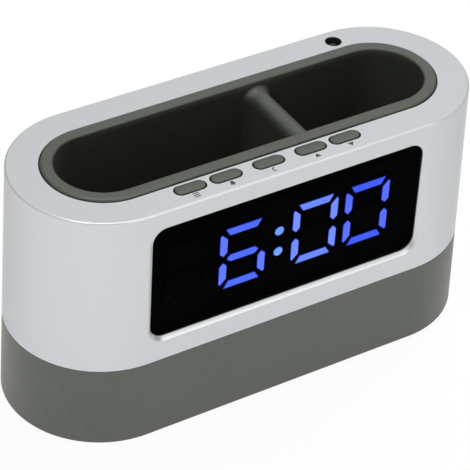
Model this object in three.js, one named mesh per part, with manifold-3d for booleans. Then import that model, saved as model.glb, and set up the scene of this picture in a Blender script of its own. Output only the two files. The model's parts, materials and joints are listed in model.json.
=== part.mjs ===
// Desk alarm clock with a two-part pen cup. The case is a tapered stadium in two shells, with a drop-in
// cup, a four-digit display behind a smoked window, five sprung buttons and a battery bay in the base.
// Millimetres, +Z up. The origin is on the table under the middle of the case, and the display faces -Y.
import * as THREE from "three";
import { mergeVertices } from "three/addons/utils/BufferGeometryUtils.js";
import Module from "manifold-3d";

const wasm = await Module();
wasm.setup();

// Case
const CASE_LENGTH = 165; // along X, at the foot of the base
const CASE_DEPTH = 63.6; // along Y, at the foot of the base
const CASE_HEIGHT = 86.2; // foot of the base to the top face
const CASE_TAPER = 2.1; // how far each side leans in over that height
const SEAM_HEIGHT = 29.2; // foot of the base to the parting line
const WALL = 2.2; // side walls of both shells
const TOP_WALL = 2.2;
const FLOOR_WALL = 2.2;
const TOP_EDGE = 0.6; // broken edge round the top face
const FOOT_EDGE = 0.3; // broken edge round the foot of the base
const SEAM_GAP = 0.1;
const TONGUE_WALL = 1.2; // rim of the base that stands inside the upper shell
const TONGUE_HEIGHT = 2.5;
const TONGUE_ROOT = 4; // how far below the parting line the rim starts
const TONGUE_BITE = 0.6; // how deep its root sinks into the base wall
const TONGUE_GAP = 0.2;

// Clearances and drawing steps
const SEAT_GAP = 0.05; // between faces that rest on each other
const PANEL_GAP = 0.3; // between faces that rest on each other in the leaning front panel
const CUT = 1; // how far a cut runs past the face that it opens
const ARC_STEPS = 16; // facets in each half-round end of the case
const ROUND_STEPS = 12; // facets round a turned piece
const CORNER_STEPS = 3; // pairs of facets in a rounded corner
const EDGE_STEPS = 3; // facets across a rounded edge

// Pen cup
const RIM_SIDE = 10.5; // silver rim from the lip to the front and back of the top face
const RIM_END = 10.75; // silver rim from the lip to the ends of the top face
const LIP_WIDTH = 4.05;
const LIP_PROUD = 0.9; // lip above the top face
const LIP_SEAT = 0.6; // depth of the step that the lip drops into
const LIP_GAP = 0.3; // gap round the lip in that step
const LIP_ROUND = 0.9; // rounding of the lip's outer edge
const MOUTH_ROUND = 0.8; // rounding of the lip's inner edge
const CUP_WALL = 1.8;
const CUP_FLOOR = 2;
const CUP_TAPER = 1; // how far each wall leans in from mouth to floor
const CUP_FIT = 0.3; // gap between the cup and the opening in the top
const CUP_LIFT = 0.6; // cup above the roof of the battery bay
const CUP_BOSS_HEIGHT = 4.5; // screw bosses under the cup
const DIVIDER_X = 14.4;
const DIVIDER_WIDTH = 7;
const DIVIDER_DROP = 3.4; // its rounded top below the top of the lip

// Front window and display, measured on the leaning front panel
const WINDOW_LENGTH = 98.8;
const WINDOW_HEIGHT = 42.3;
const WINDOW_CORNER = 5;
const WINDOW_DROP = 6.5; // window below the top face
const BEZEL_WIDTH = 1.7; // sloping edge round the window
const BEZEL_DEPTH = 0.9; // at the middle of the window, whose face stands upright
const LENS_FIT = 0.15;
const LENS_FLANGE = 1.8; // how far the window's flange overlaps the opening
const LENS_FLANGE_DEPTH = 1.2;
const DISPLAY_X = -2.5; // colon from the middle of the window
const DISPLAY_DROP = 0.7; // digits below the middle of the window
const DIGIT_WIDTH = 17.1;
const DIGIT_HEIGHT = 23.8;
const DIGIT_PITCH = 19.6;
const DIGIT_FROM_COLON = 13.3; // colon to the middle of each digit beside it
const BAR_WIDTH = 3.05;
const BAR_GAP = 1; // between the bars of a digit, along each bar
const BAR_CLIP = 0.75; // clipped corner of an upright bar
const COLON_DIAMETER = 3.7;
const COLON_SPREAD = 8.1; // between the two dots
const REFLECTOR_DEPTH = 6;
const REFLECTOR_MARGIN = 4; // block round the digits
const GUIDE_SLAB = 1; // backing that joins the bars of a digit
const GUIDE_MARGIN = 0.4; // backing round the bars
const GUIDE_FIT = 0.12; // gap round each bar in the reflector

// Boards
const BOARD_THICKNESS = 1.6;
const BOARD_MARGIN = 3; // board outside its screws
const BOARD_DROP = 2; // main board below the window
const POST_RADIUS = 2.6;
const POST_GAP = 0.6; // post to the window's flange
const POST_ROOT = 1.3; // how far behind the front face a post starts
const POST_FROM_EDGE = 4;
const CHIP_LENGTH = 13;
const CHIP_WIDTH = 7.5;
const CHIP_THICKNESS = 1.5;
const CHIP_X = -20;
const CHIP_RISE = 10; // middle of the chip above the foot of the main board
const SMALL_BOARD = 1.2; // thickness of the key board and the sensor board
const KEY_BOARD_FRONT = 2.4; // key board in front of the buttons' line
const KEY_BOARD_BACK = 5.6; // key board behind it
const KEY_BOARD_END = 7; // key board beyond the end buttons
const KEY_SCREW_END = 3; // screw from the end of the key board
const HANGER_RADIUS = 2.4;
const RIBBON_WIDTH = 10;
const RIBBON_THICKNESS = 0.6;
const RIBBON_LENGTH = 14;
const RIBBON_X = 30;

// Buttons and their switches
const BUTTON_NAMES = ["mode", "alarm", "snooze", "up", "down"];
const BUTTON_LENGTH = 10.3;
const BUTTON_WIDTH = 3.95;
const BUTTON_PROUD = 0.5;
const BUTTON_EDGE = 0.3; // broken edge of a cap
const BUTTON_GAP = 0.35; // round a cap in its hole
const BUTTON_FLANGE = 0.7; // flange round a cap, under the top face
const BUTTON_FLANGE_DEPTH = 1;
const BUTTON_INSET = 6.8; // buttons' line from the front of the top face
const BUTTON_MIDDLE = -5.05; // X of the middle button
const BUTTON_WIDE_SPACE = 5; // between the middle button and its neighbours
const BUTTON_NARROW_SPACE = 2.35; // between the two buttons at each end
const SWITCH_SIZE = 6;
const SWITCH_BACK = 0.8; // switches behind the buttons' line
const SWITCH_HEIGHT = 3.5;
const PLUNGER_RADIUS = 1.7;
const PLUNGER_OUT = 1.2;
const PLUNGER_IN = 1;
const PLUNGER_GAP = 0.15;
const PLUNGER_ROOM = 2.2; // depth of the plunger's well

// Light sensor
const SENSOR_BEFORE_END = 1.5; // sensor from the end of the straight back rim
const SENSOR_INSET = 5.9; // sensor from the back of the top face
const SENSOR_DIAMETER = 5;
const SENSOR_GAP = 0.15;
const SENSOR_RECESS = 1; // dome below the top face
const SENSOR_LENGTH = 7;
const SENSOR_FLANGE = 0.4;
const SENSOR_FLANGE_DEPTH = 1;
const SENSOR_RING_WALL = 1.4;
const SENSOR_BOARD_LEFT = 9; // sensor board to the left of the sensor
const SENSOR_BOARD_RIGHT = 3.6;
const SENSOR_BOARD_FRONT = 3.3; // sensor board in front of the sensor
const SENSOR_BOARD_GAP = 0.4; // sensor board to the back wall, at the top face
const SENSOR_SCREW_LEFT = 6.4;

// Battery bay
const CELL_COUNT = 3;
const CELL_DIAMETER = 10.5;
const CELL_LENGTH = 44.5;
const CELL_NUB = 1;
const CELL_NUB_RADIUS = 1.9;
const CELL_EDGE = 0.6;
const CELL_GAP = 0.5;
const CELL_ROOM = 0.6; // bay round the cells
const CONTACT_THICKNESS = 0.4;
const CONTACT_HEIGHT = 8;
const CONTACT_MARGIN = 1; // contact plate short of the cell's width on each side
const SPRING_LENGTH = 4.2;
const SPRING_RADIUS = 2.6;
const SPRING_WIRE = 0.4; // radius of the wire
const SPRING_TURNS = 2;
const SPRING_STEPS = 8;
const SPRING_SIDES = 5;
const BAY_WALL = 3.2;
const BAY_ROOF = 1.4;
const DOOR_LEDGE = 1.5; // door past the mouth of the bay
const DOOR_THICKNESS = 2;
const DOOR_FIT = 0.25;
const DOOR_CORNER = 1.5;
const TAB_LENGTH = 8;
const TAB_REACH = 1.8;
const TAB_THICKNESS = 1;
const TAB_OFFSET = 16; // each tab from the middle of the door
const TAB_LIP = 0.8; // floor left under a tab
const TAB_ROOM = 3.2; // height of a tab's slot
const LATCH_WIDTH = 12;
const LATCH_LENGTH = 7;
const LATCH_SLOT = 1;
const GRIP_COUNT = 3;
const GRIP_WIDTH = 0.8;
const GRIP_PITCH = 1.8;
const GRIP_DEPTH = 0.5;

// Power inlet
const JACK_X = -45;
const JACK_WIDTH = 9;
const JACK_HEIGHT = 10;
const JACK_LENGTH = 12;
const JACK_COLLAR = 3.9; // radius of the collar in the back wall
const JACK_BORE = 3.1; // radius
const JACK_BORE_DEPTH = 9.5;
const JACK_RECESS = 0.6; // collar behind the outside of the case
const JACK_PIN = 1; // radius
const JACK_PIN_SHORT = 1.5; // pin behind the mouth of the bore
const JACK_GAP = 0.2;
const CRADLE_WALL = 1.5;
const CRADLE_HEIGHT = 6;

// Buzzer
const BUZZER_BEFORE_END = 20; // buzzer from the end of the case
const BUZZER_RADIUS = 10;
const BUZZER_HEIGHT = 6;
const BUZZER_PORT = 1.5;
const BUZZER_GAP = 0.2;
const BUZZER_RING_WALL = 1.4;
const BUZZER_RING_HEIGHT = 4;
const SOUND_SLOTS = 5;
const SOUND_SLOT_WIDTH = 1.4;
const SOUND_SLOT_PITCH = 3;
const SOUND_SLOT_LENGTH = 11;

// Feet
const FOOT_PROUD = 1;
const FOOT_RADIUS = 5;
const FOOT_SINK = 0.8; // depth of the recess that takes a foot
const FOOT_GAP = 0.2;
const FOOT_ROUND = 0.4;
const FOOT_X = 43;
const FOOT_INSET = 9; // middle of a foot from the side of the base

// Screws: shank radius, length, head radius and head height
const CASE_SCREW = { shank: 1.5, length: 18, head: 2.8, headHeight: 1.9 };
const CUP_SCREW = { shank: 1.5, length: 7, head: 2.8, headHeight: 1.9 };
const BOARD_SCREW = { shank: 1, length: 6, head: 1.9, headHeight: 1.3 };
const SCREW_FIT = 0.1; // round a shank in its boss
const SCREW_CLEARANCE = 0.25; // round a shank in the piece that it holds
const HEAD_CLEARANCE = 0.5; // round a head in its counterbore
const CROSS_WIDTH = 0.32; // arm of the cross slot, as a share of the head's radius
const CROSS_LENGTH = 1.2; // the slot's length, as a share of the head's radius
const CROSS_DEPTH = 0.55; // as a share of the head's height
const BOSS_RADIUS = 3.3;
const BOSS_RISE = 1; // end of a case boss above the parting line
const TOWER_RADIUS = 4.3;
const CASE_SEAT = 8; // case screw's seat below the parting line
const CUP_SEAT = 3; // cup screw's seat below the top of its tower
const CUP_TOWER_GAP = 6; // cup towers beyond the battery bay
const PILOT_EXTRA = 1; // pilot hole past the tip of a screw

// Lead from the battery bay to the main board
const LEAD_RADIUS = 1.1;
const LEAD_SIDES = 8;
const LEAD_STEPS = 14;
const LEAD_ENTRY_X = 34;
const LEAD_BEND = 5;
const LEAD_END_GAP = 0.4;

// Places that follow from the sizes
const CASE_BOTTOM = FOOT_PROUD;
const CASE_TOP = CASE_BOTTOM + CASE_HEIGHT;
const SEAM = CASE_BOTTOM + SEAM_HEIGHT;
const CEILING = CASE_TOP - TOP_WALL;
const FLOOR = CASE_BOTTOM + FLOOR_WALL;
const SPINE = (CASE_LENGTH - CASE_DEPTH) / 2; // half the straight run between the round ends
const TOP_RADIUS = caseRadius(CASE_TOP);
const LIP_RADIUS = TOP_RADIUS - RIM_SIDE;
const CUP_SPINE = SPINE + TOP_RADIUS - RIM_END - LIP_RADIUS;
const LIP_TOP = CASE_TOP + LIP_PROUD;
const MOUTH_RADIUS = LIP_RADIUS - LIP_WIDTH;

const CELL_PITCH = CELL_DIAMETER + CELL_GAP;
const CELL_Z = CASE_BOTTOM + DOOR_THICKNESS + CELL_GAP + CELL_DIAMETER / 2;
const BAY_HALF_LENGTH = (CELL_LENGTH + SPRING_LENGTH) / 2 + CONTACT_THICKNESS + 2 * SEAT_GAP;
const BAY_HALF_WIDTH = ((CELL_COUNT - 1) * CELL_PITCH + CELL_DIAMETER) / 2 + CELL_ROOM;
const BAY_CEILING = CELL_Z + CELL_DIAMETER / 2 + CELL_ROOM;
const BAY_TOP = BAY_CEILING + BAY_ROOF;
const DOOR_HALF_LENGTH = BAY_HALF_LENGTH + DOOR_LEDGE;
const DOOR_HALF_WIDTH = BAY_HALF_WIDTH + DOOR_LEDGE;

const CUP_BOTTOM = BAY_TOP + CUP_LIFT;
const CUP_INSIDE = CUP_BOTTOM + CUP_FLOOR;
const CUP_TOWER_X = BAY_HALF_LENGTH + BAY_WALL + TOWER_RADIUS + CUP_TOWER_GAP;
const CUP_TOWER_TOP = CUP_BOTTOM - CUP_BOSS_HEIGHT - SEAT_GAP;
const CUP_SCREW_SEAT = CUP_TOWER_TOP - CUP_SEAT;
const CUP_TOWERS = [["left", -CUP_TOWER_X], ["right", CUP_TOWER_X]];

const BOSS_RING = (MOUTH_RADIUS + CUP_WALL + TOP_RADIUS - WALL) / 2;
const BOSS_X = SPINE + BOSS_RING * Math.SQRT1_2;
const BOSS_Y = BOSS_RING * Math.SQRT1_2;
const CORNERS = [
  ["front_left", -1, -1],
  ["front_right", 1, -1],
  ["back_left", -1, 1],
  ["back_right", 1, 1],
];

const BUTTON_Y = BUTTON_INSET - TOP_RADIUS;
const BUTTON_NEAR = BUTTON_LENGTH + BUTTON_WIDE_SPACE;
const BUTTON_FAR = BUTTON_NEAR + BUTTON_LENGTH + BUTTON_NARROW_SPACE;
const BUTTON_PLACES = [-BUTTON_FAR, -BUTTON_NEAR, 0, BUTTON_NEAR, BUTTON_FAR]
  .map((offset) => BUTTON_MIDDLE + offset);
const FLANGE_BOTTOM = CEILING - SEAT_GAP - BUTTON_FLANGE_DEPTH;
const SWITCH_TOP = FLANGE_BOTTOM - SEAT_GAP - PLUNGER_OUT;
const KEY_BOARD_TOP = SWITCH_TOP - SWITCH_HEIGHT - SEAT_GAP;
const KEY_BOARD_BOTTOM = KEY_BOARD_TOP - SMALL_BOARD;
const KEY_BOARD_LEFT = BUTTON_MIDDLE - BUTTON_FAR - BUTTON_LENGTH / 2 - KEY_BOARD_END;
const KEY_BOARD_RIGHT = BUTTON_MIDDLE + BUTTON_FAR + BUTTON_LENGTH / 2 + KEY_BOARD_END;
const KEY_SCREWS = [["left", KEY_BOARD_LEFT + KEY_SCREW_END], ["right", KEY_BOARD_RIGHT - KEY_SCREW_END]];

const SENSOR_X = SPINE - SENSOR_BEFORE_END;
const SENSOR_Y = TOP_RADIUS - SENSOR_INSET;
const SENSOR_TOP = CASE_TOP - SENSOR_RECESS;
const SENSOR_FOOT = SENSOR_TOP - SENSOR_LENGTH;
const SENSOR_BOARD_TOP = SENSOR_FOOT - SEAT_GAP;
const SENSOR_SCREW_X = SENSOR_X - SENSOR_SCREW_LEFT;

const PANEL_TILT = Math.atan2(CASE_TAPER, CASE_HEIGHT);
const PANEL_HEIGHT = Math.hypot(CASE_TAPER, CASE_HEIGHT);
const WINDOW_MIDDLE = PANEL_HEIGHT - WINDOW_DROP - WINDOW_HEIGHT / 2;
const LENS_SHOULDER = WALL + PANEL_GAP; // depth where the window's flange starts
const LENS_BACK = LENS_SHOULDER + LENS_FLANGE_DEPTH;
const REFLECTOR_FRONT = LENS_BACK + PANEL_GAP;
const REFLECTOR_BACK = REFLECTOR_FRONT + REFLECTOR_DEPTH;
const BOARD_FRONT = REFLECTOR_BACK + SEAT_GAP;
const BOARD_BACK = BOARD_FRONT + BOARD_THICKNESS;
const DISPLAY_MIDDLE = WINDOW_MIDDLE - DISPLAY_DROP;
const BOARD_FOOT = WINDOW_MIDDLE - WINDOW_HEIGHT / 2 - BOARD_DROP;
const BOARD_HEAD = panelHeight(KEY_BOARD_BOTTOM - BOARD_SCREW.headHeight, BOARD_FRONT) - 2 * PANEL_GAP;
const POST_X = WINDOW_LENGTH / 2 + LENS_FLANGE + POST_GAP + POST_RADIUS;
const POST_HEIGHTS = [["low", BOARD_FOOT + POST_FROM_EDGE], ["high", BOARD_HEAD - POST_FROM_EDGE]];
const DIGITS = [
  ["hour_tens_guide", -DIGIT_FROM_COLON - DIGIT_PITCH],
  ["hour_units_guide", -DIGIT_FROM_COLON],
  ["minute_tens_guide", DIGIT_FROM_COLON],
  ["minute_units_guide", DIGIT_FROM_COLON + DIGIT_PITCH],
];

const JACK_Z = FLOOR + SEAT_GAP + JACK_HEIGHT / 2;
const JACK_FRONT = caseRadius(JACK_Z) - WALL - SEAT_GAP - CASE_TAPER * JACK_HEIGHT / CASE_HEIGHT;
const JACK_BACK = JACK_FRONT - JACK_LENGTH;
const JACK_MOUTH = caseRadius(JACK_Z) - JACK_RECESS;
const JACK_BORE_END = JACK_MOUTH - JACK_BORE_DEPTH;

const BUZZER_X = CASE_LENGTH / 2 - BUZZER_BEFORE_END;
const FOOT_Y = CASE_DEPTH / 2 - FOOT_INSET;

// Materials
const FINISHES = {
  silver: { color: "#c4c8cb", roughness: 0.4, metalness: 0.35 },
  grey: { color: "#5c5f58", roughness: 0.55, metalness: 0 },
  smoked: { color: "#08080a", roughness: 0.08, metalness: 0 },
  black: { color: "#141416", roughness: 0.5, metalness: 0 },
  blue: { color: "#4a6cff", roughness: 0.35, metalness: 0 },
  clear: { color: "#b9bdc6", roughness: 0.35, metalness: 0 },
  board: { color: "#2f6b3c", roughness: 0.5, metalness: 0 },
  steel: { color: "#b4b6b8", roughness: 0.35, metalness: 0.95 },
  nickel: { color: "#cfcdc6", roughness: 0.3, metalness: 0.95 },
  cell: { color: "#4d6f8f", roughness: 0.35, metalness: 0.3 },
  rubber: { color: "#1c1c1c", roughness: 0.85, metalness: 0 },
  wire: { color: "#8d2a24", roughness: 0.5, metalness: 0 },
  ribbon: { color: "#b8bab6", roughness: 0.5, metalness: 0 },
};

function caseRadius(z) {
  return CASE_DEPTH / 2 - CASE_TAPER * (z - CASE_BOTTOM) / CASE_HEIGHT;
}

function cupRadius(z) {
  return MOUTH_RADIUS - CUP_TAPER * (LIP_TOP - z) / (LIP_TOP - CUP_INSIDE);
}

// Height along the leaning front panel of a level z, at a depth behind the front face
function panelHeight(z, depth) {
  return (z - CASE_BOTTOM + depth * Math.sin(PANEL_TILT)) / Math.cos(PANEL_TILT);
}

// Closed solids from geometry, and geometry from solids
function solidOf(geometry) {
  const bare = geometry.index ? geometry.toNonIndexed() : geometry.clone();
  bare.deleteAttribute("normal");
  bare.deleteAttribute("uv");
  const merged = mergeVertices(bare);
  const corners = merged.index.array;
  const triangles = [];
  for (let at = 0; at < corners.length; at += 3) {
    const [a, b, c] = corners.slice(at, at + 3);
    if (a !== b && b !== c && c !== a) {
      triangles.push(a, b, c);
    }
  }
  const mesh = new wasm.Mesh({
    numProp: 3,
    vertProperties: merged.attributes.position.array,
    triVerts: new Uint32Array(triangles),
  });
  return new wasm.Manifold(mesh);
}

function geometryOf(solid) {
  const made = solid.getMesh();
  const geometry = new THREE.BufferGeometry();
  geometry.setAttribute("position", new THREE.BufferAttribute(new Float32Array(made.vertProperties), 3));
  geometry.setIndex(new THREE.BufferAttribute(new Uint32Array(made.triVerts), 1));
  const flat = geometry.toNonIndexed();
  flat.computeVertexNormals();
  return flat;
}

function joined(solids) {
  return solids.reduce((whole, solid) => whole.add(solid));
}

function cutBy(solid, cutters) {
  return cutters.reduce((whole, cutter) => whole.subtract(cutter), solid);
}

// Basic shapes
function block([x0, x1], [y0, y1], [z0, z1]) {
  const geometry = new THREE.BoxGeometry(x1 - x0, y1 - y0, z1 - z0);
  geometry.translate((x0 + x1) / 2, (y0 + y1) / 2, (z0 + z1) / 2);
  return solidOf(geometry);
}

function rod(x, y, [z0, z1], radius) {
  const geometry = new THREE.CylinderGeometry(radius, radius, z1 - z0, ROUND_STEPS);
  geometry.rotateX(Math.PI / 2);
  geometry.translate(x, y, (z0 + z1) / 2);
  return solidOf(geometry);
}

function rodAlongY(x, [y0, y1], z, radius) {
  const geometry = new THREE.CylinderGeometry(radius, radius, y1 - y0, ROUND_STEPS);
  geometry.translate(x, (y0 + y1) / 2, z);
  return solidOf(geometry);
}

// A turned solid about Z from points of radius and height, listed upwards from the axis to the axis
function turned(points) {
  const profile = points.map(([radius, height]) => new THREE.Vector2(radius, height));
  const geometry = new THREE.LatheGeometry(profile, ROUND_STEPS);
  geometry.rotateX(Math.PI / 2);
  return solidOf(geometry);
}

// A solid through rings of points, all in the same turning order, from the lowest ring to the highest
function loft(rings) {
  const count = rings[0].length;
  const faces = [];
  for (let level = 0; level + 1 < rings.length; level += 1) {
    for (let at = 0; at < count; at += 1) {
      const here = level * count + at;
      const next = level * count + ((at + 1) % count);
      faces.push(here, next, next + count);
      faces.push(here, next + count, here + count);
    }
  }
  const last = (rings.length - 1) * count;
  const outline = rings[0].map((point) => new THREE.Vector2(point.x, point.y));
  for (const [a, b, c] of THREE.ShapeUtils.triangulateShape(outline, [])) {
    faces.push(a, c, b);
    faces.push(last + a, last + b, last + c);
  }
  const geometry = new THREE.BufferGeometry().setFromPoints(rings.flat());
  geometry.setIndex(faces);
  return solidOf(geometry);
}

function stadiumRing(spine, radius, z) {
  const ring = [];
  for (const side of [1, -1]) {
    for (let step = 0; step <= ARC_STEPS; step += 1) {
      const turn = Math.PI * (step / ARC_STEPS - 0.5);
      const x = side * (spine + radius * Math.cos(turn));
      ring.push(new THREE.Vector3(x, side * radius * Math.sin(turn), z));
    }
  }
  return ring;
}

// A stadium solid from pairs of radius and height, lowest first
function stadium(spine, levels) {
  return loft(levels.map(([radius, z]) => stadiumRing(spine, radius, z)));
}

function roundedRectangle(length, height, corner) {
  const x = length / 2;
  const y = height / 2;
  const shape = new THREE.Shape();
  shape.absarc(x - corner, y - corner, corner, 0, Math.PI / 2);
  shape.absarc(corner - x, y - corner, corner, Math.PI / 2, Math.PI);
  shape.absarc(corner - x, corner - y, corner, Math.PI, 1.5 * Math.PI);
  shape.absarc(x - corner, corner - y, corner, 1.5 * Math.PI, 2 * Math.PI);
  return shape;
}

function ringOf(shape, z) {
  const points = shape.getPoints(CORNER_STEPS);
  return points.map((point) => new THREE.Vector3(point.x, point.y, z));
}

// A ring at a depth in the front panel, which leans back; the ring itself stands upright
function uprightRing(shape, depth) {
  const lean = Math.tan(PANEL_TILT);
  return ringOf(shape, -depth).map((point) => point.setZ(point.z + lean * point.y));
}

function prism(shape, [z0, z1]) {
  const geometry = new THREE.ExtrudeGeometry(shape, {
    depth: z1 - z0,
    bevelEnabled: false,
    curveSegments: CORNER_STEPS,
  });
  geometry.translate(0, 0, z0);
  return solidOf(geometry);
}

// Turns a solid drawn in plan, whose z is minus the depth, to stand in the front panel's own frame,
// where y is the depth behind the front face and z the height along it
function stoodUp(solid, x, height) {
  const geometry = geometryOf(solid);
  geometry.rotateX(Math.PI / 2);
  geometry.translate(x, 0, height);
  return solidOf(geometry);
}

function panelPlate(shape, [depth0, depth1], x, height) {
  return stoodUp(prism(shape, [-depth1, -depth0]), x, height);
}

function panelRod(x, height, depths, radius) {
  return rodAlongY(x, depths, height, radius);
}

// Scene graph: the front panel leans back with the front of the case
const clock = new THREE.Group();
const panel = new THREE.Group();
panel.position.set(0, -CASE_DEPTH / 2, CASE_BOTTOM);
panel.rotation.x = -PANEL_TILT;
clock.add(panel);
panel.updateMatrix();

function addPiece(group, name, solid, finish) {
  const mesh = new THREE.Mesh(geometryOf(solid), new THREE.MeshStandardMaterial(FINISHES[finish]));
  mesh.name = name;
  group.add(mesh);
  return mesh;
}

// Moves a solid of the front panel's frame into the case's frame
function inCase(solid) {
  const geometry = geometryOf(solid);
  geometry.applyMatrix4(panel.matrix);
  return solidOf(geometry);
}

// Screws point up from a seat at height zero
function screw({ shank, length, head, headHeight }) {
  const body = turned([
    [0, -headHeight],
    [head, -headHeight],
    [head, 0],
    [shank, 0],
    [shank, length - shank],
    [0, length],
  ]);
  const arm = head * CROSS_WIDTH / 2;
  const reach = head * CROSS_LENGTH / 2;
  const slot = [-headHeight - CUT, -headHeight * (1 - CROSS_DEPTH)];
  const upright = block([-arm, arm], [-reach, reach], slot);
  const level = block([-reach, reach], [-arm, arm], slot);
  const cross = joined([upright, level]);
  return body.subtract(cross);
}

function addScrew(group, name, size, [x, y, z], turn) {
  const mesh = addPiece(group, name, screw(size), "steel");
  mesh.position.set(x, y, z);
  mesh.rotation.x = turn;
}

// Upper shell
function pill(length, width) {
  return roundedRectangle(length, width, width / 2 - SEAT_GAP / 2);
}

function buttonHoles() {
  const shape = pill(BUTTON_LENGTH + 2 * BUTTON_GAP, BUTTON_WIDTH + 2 * BUTTON_GAP);
  const hole = prism(shape, [CEILING - CUT, CASE_TOP + CUT]);
  return BUTTON_PLACES.map((x) => hole.translate(x, BUTTON_Y, 0));
}

function windowCut() {
  const grown = (extra) => {
    return roundedRectangle(WINDOW_LENGTH + 2 * extra, WINDOW_HEIGHT + 2 * extra, WINDOW_CORNER + extra);
  };
  const rings = [
    ringOf(grown(0), -WALL - CUT),
    uprightRing(grown(0), BEZEL_DEPTH),
    ringOf(grown(BEZEL_WIDTH), 0),
    ringOf(grown(BEZEL_WIDTH), CUT),
  ];
  return stoodUp(loft(rings), 0, WINDOW_MIDDLE);
}

function boardPosts() {
  const posts = [];
  const pilots = [];
  for (const [, height] of POST_HEIGHTS) {
    for (const side of [-1, 1]) {
      posts.push(panelRod(side * POST_X, height, [POST_ROOT, BOARD_FRONT - PANEL_GAP], POST_RADIUS));
      const depths = [BOARD_BACK - BOARD_SCREW.length - PILOT_EXTRA, BOARD_FRONT + CUT];
      pilots.push(panelRod(side * POST_X, height, depths, BOARD_SCREW.shank + SCREW_FIT));
    }
  }
  return { posts: inCase(joined(posts)), pilots: inCase(joined(pilots)) };
}

// A hanger under the top face for a small board, and the pilot hole of its screw
function hanger(x, y, boardTop) {
  const tip = boardTop - SMALL_BOARD + BOARD_SCREW.length;
  return {
    post: rod(x, y, [boardTop + SEAT_GAP, CEILING + TOP_WALL / 2], HANGER_RADIUS),
    pilot: rod(x, y, [boardTop - CUT, tip + PILOT_EXTRA], BOARD_SCREW.shank + SCREW_FIT),
  };
}

function upperShell() {
  const edge = CASE_TOP - TOP_EDGE;
  const outside = stadium(SPINE, [
    [caseRadius(SEAM), SEAM],
    [caseRadius(edge), edge],
    [TOP_RADIUS - TOP_EDGE, CASE_TOP],
  ]);
  const hollow = stadium(SPINE, [
    [caseRadius(SEAM - CUT) - WALL, SEAM - CUT],
    [caseRadius(CEILING) - WALL, CEILING],
  ]);
  const bossFoot = SEAM + BOSS_RISE;
  const bosses = CORNERS.map(([, sideX, sideY]) => {
    return rod(sideX * BOSS_X, sideY * BOSS_Y, [bossFoot, CEILING + TOP_WALL / 2], BOSS_RADIUS);
  });
  const bossPilots = CORNERS.map(([, sideX, sideY]) => {
    const tip = SEAM - CASE_SEAT + CASE_SCREW.length + PILOT_EXTRA;
    return rod(sideX * BOSS_X, sideY * BOSS_Y, [bossFoot - CUT, tip], CASE_SCREW.shank + SCREW_FIT);
  });
  const keyHangers = KEY_SCREWS.map(([, x]) => hanger(x, BUTTON_Y, KEY_BOARD_TOP));
  const sensorHanger = hanger(SENSOR_SCREW_X, SENSOR_Y, SENSOR_BOARD_TOP);
  const hangers = [...keyHangers, sensorHanger];
  const sensorRadius = SENSOR_DIAMETER / 2 + SENSOR_GAP;
  const ringFoot = SENSOR_FOOT + SENSOR_FLANGE_DEPTH + SEAT_GAP;
  const ring = rod(SENSOR_X, SENSOR_Y, [ringFoot, CEILING + TOP_WALL / 2], sensorRadius + SENSOR_RING_WALL);
  const boards = boardPosts();
  const fittings = joined([...bosses, ...hangers.map(({ post }) => post), ring, boards.posts]);
  const cupOpening = stadium(CUP_SPINE, [
    [MOUTH_RADIUS + CUP_WALL + CUP_FIT, CEILING - CUT],
    [MOUTH_RADIUS + CUP_WALL + CUP_FIT, CASE_TOP + CUT],
  ]);
  const lipStep = stadium(CUP_SPINE, [
    [LIP_RADIUS + LIP_GAP, CASE_TOP - LIP_SEAT],
    [LIP_RADIUS + LIP_GAP, CASE_TOP + CUT],
  ]);
  const shell = outside.subtract(hollow).add(fittings.intersect(outside));
  return cutBy(shell, [
    cupOpening,
    lipStep,
    ...buttonHoles(),
    rod(SENSOR_X, SENSOR_Y, [ringFoot - CUT, CASE_TOP + CUT], sensorRadius),
    inCase(windowCut()),
    boards.pilots,
    ...bossPilots,
    ...hangers.map(({ pilot }) => pilot),
  ]);
}

// Pen cup with its lip and divider
function penCup() {
  const lipFoot = CASE_TOP - LIP_SEAT + SEAT_GAP;
  const levels = [
    [cupRadius(CUP_BOTTOM) + CUP_WALL, CUP_BOTTOM],
    [cupRadius(lipFoot) + CUP_WALL, lipFoot],
    [LIP_RADIUS, lipFoot],
  ];
  for (let step = 0; step <= EDGE_STEPS; step += 1) {
    const turn = Math.PI / 2 * step / EDGE_STEPS;
    levels.push([
      LIP_RADIUS - LIP_ROUND * (1 - Math.cos(turn)),
      LIP_TOP - LIP_ROUND * (1 - Math.sin(turn)),
    ]);
  }
  const inside = [[cupRadius(CUP_INSIDE), CUP_INSIDE]];
  for (let step = 0; step <= EDGE_STEPS; step += 1) {
    const turn = Math.PI / 2 * step / EDGE_STEPS;
    inside.push([
      MOUTH_RADIUS + MOUTH_ROUND * (1 - Math.cos(turn)),
      LIP_TOP - MOUTH_ROUND * (1 - Math.sin(turn)),
    ]);
  }
  inside.push([MOUTH_RADIUS + MOUTH_ROUND, LIP_TOP + CUT]);
  const half = DIVIDER_WIDTH / 2;
  const crest = LIP_TOP - DIVIDER_DROP - half;
  const sides = [DIVIDER_X - half, DIVIDER_X + half];
  const divider = joined([
    block(sides, [-LIP_RADIUS, LIP_RADIUS], [CUP_BOTTOM, crest]),
    rodAlongY(DIVIDER_X, [-LIP_RADIUS, LIP_RADIUS], crest, half),
  ]);
  const space = stadium(CUP_SPINE, inside).subtract(divider);
  const bosses = CUP_TOWERS.map(([, x]) => {
    return rod(x, 0, [CUP_BOTTOM - CUP_BOSS_HEIGHT, CUP_BOTTOM + CUP_FLOOR / 2], BOSS_RADIUS);
  });
  const tip = CUP_SCREW_SEAT + CUP_SCREW.length;
  const pilots = CUP_TOWERS.map(([, x]) => {
    return rod(x, 0, [CUP_BOTTOM - CUP_BOSS_HEIGHT - CUT, tip + SCREW_FIT], CUP_SCREW.shank + SCREW_FIT);
  });
  return cutBy(joined([stadium(CUP_SPINE, levels).subtract(space), ...bosses]), pilots);
}

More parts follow.
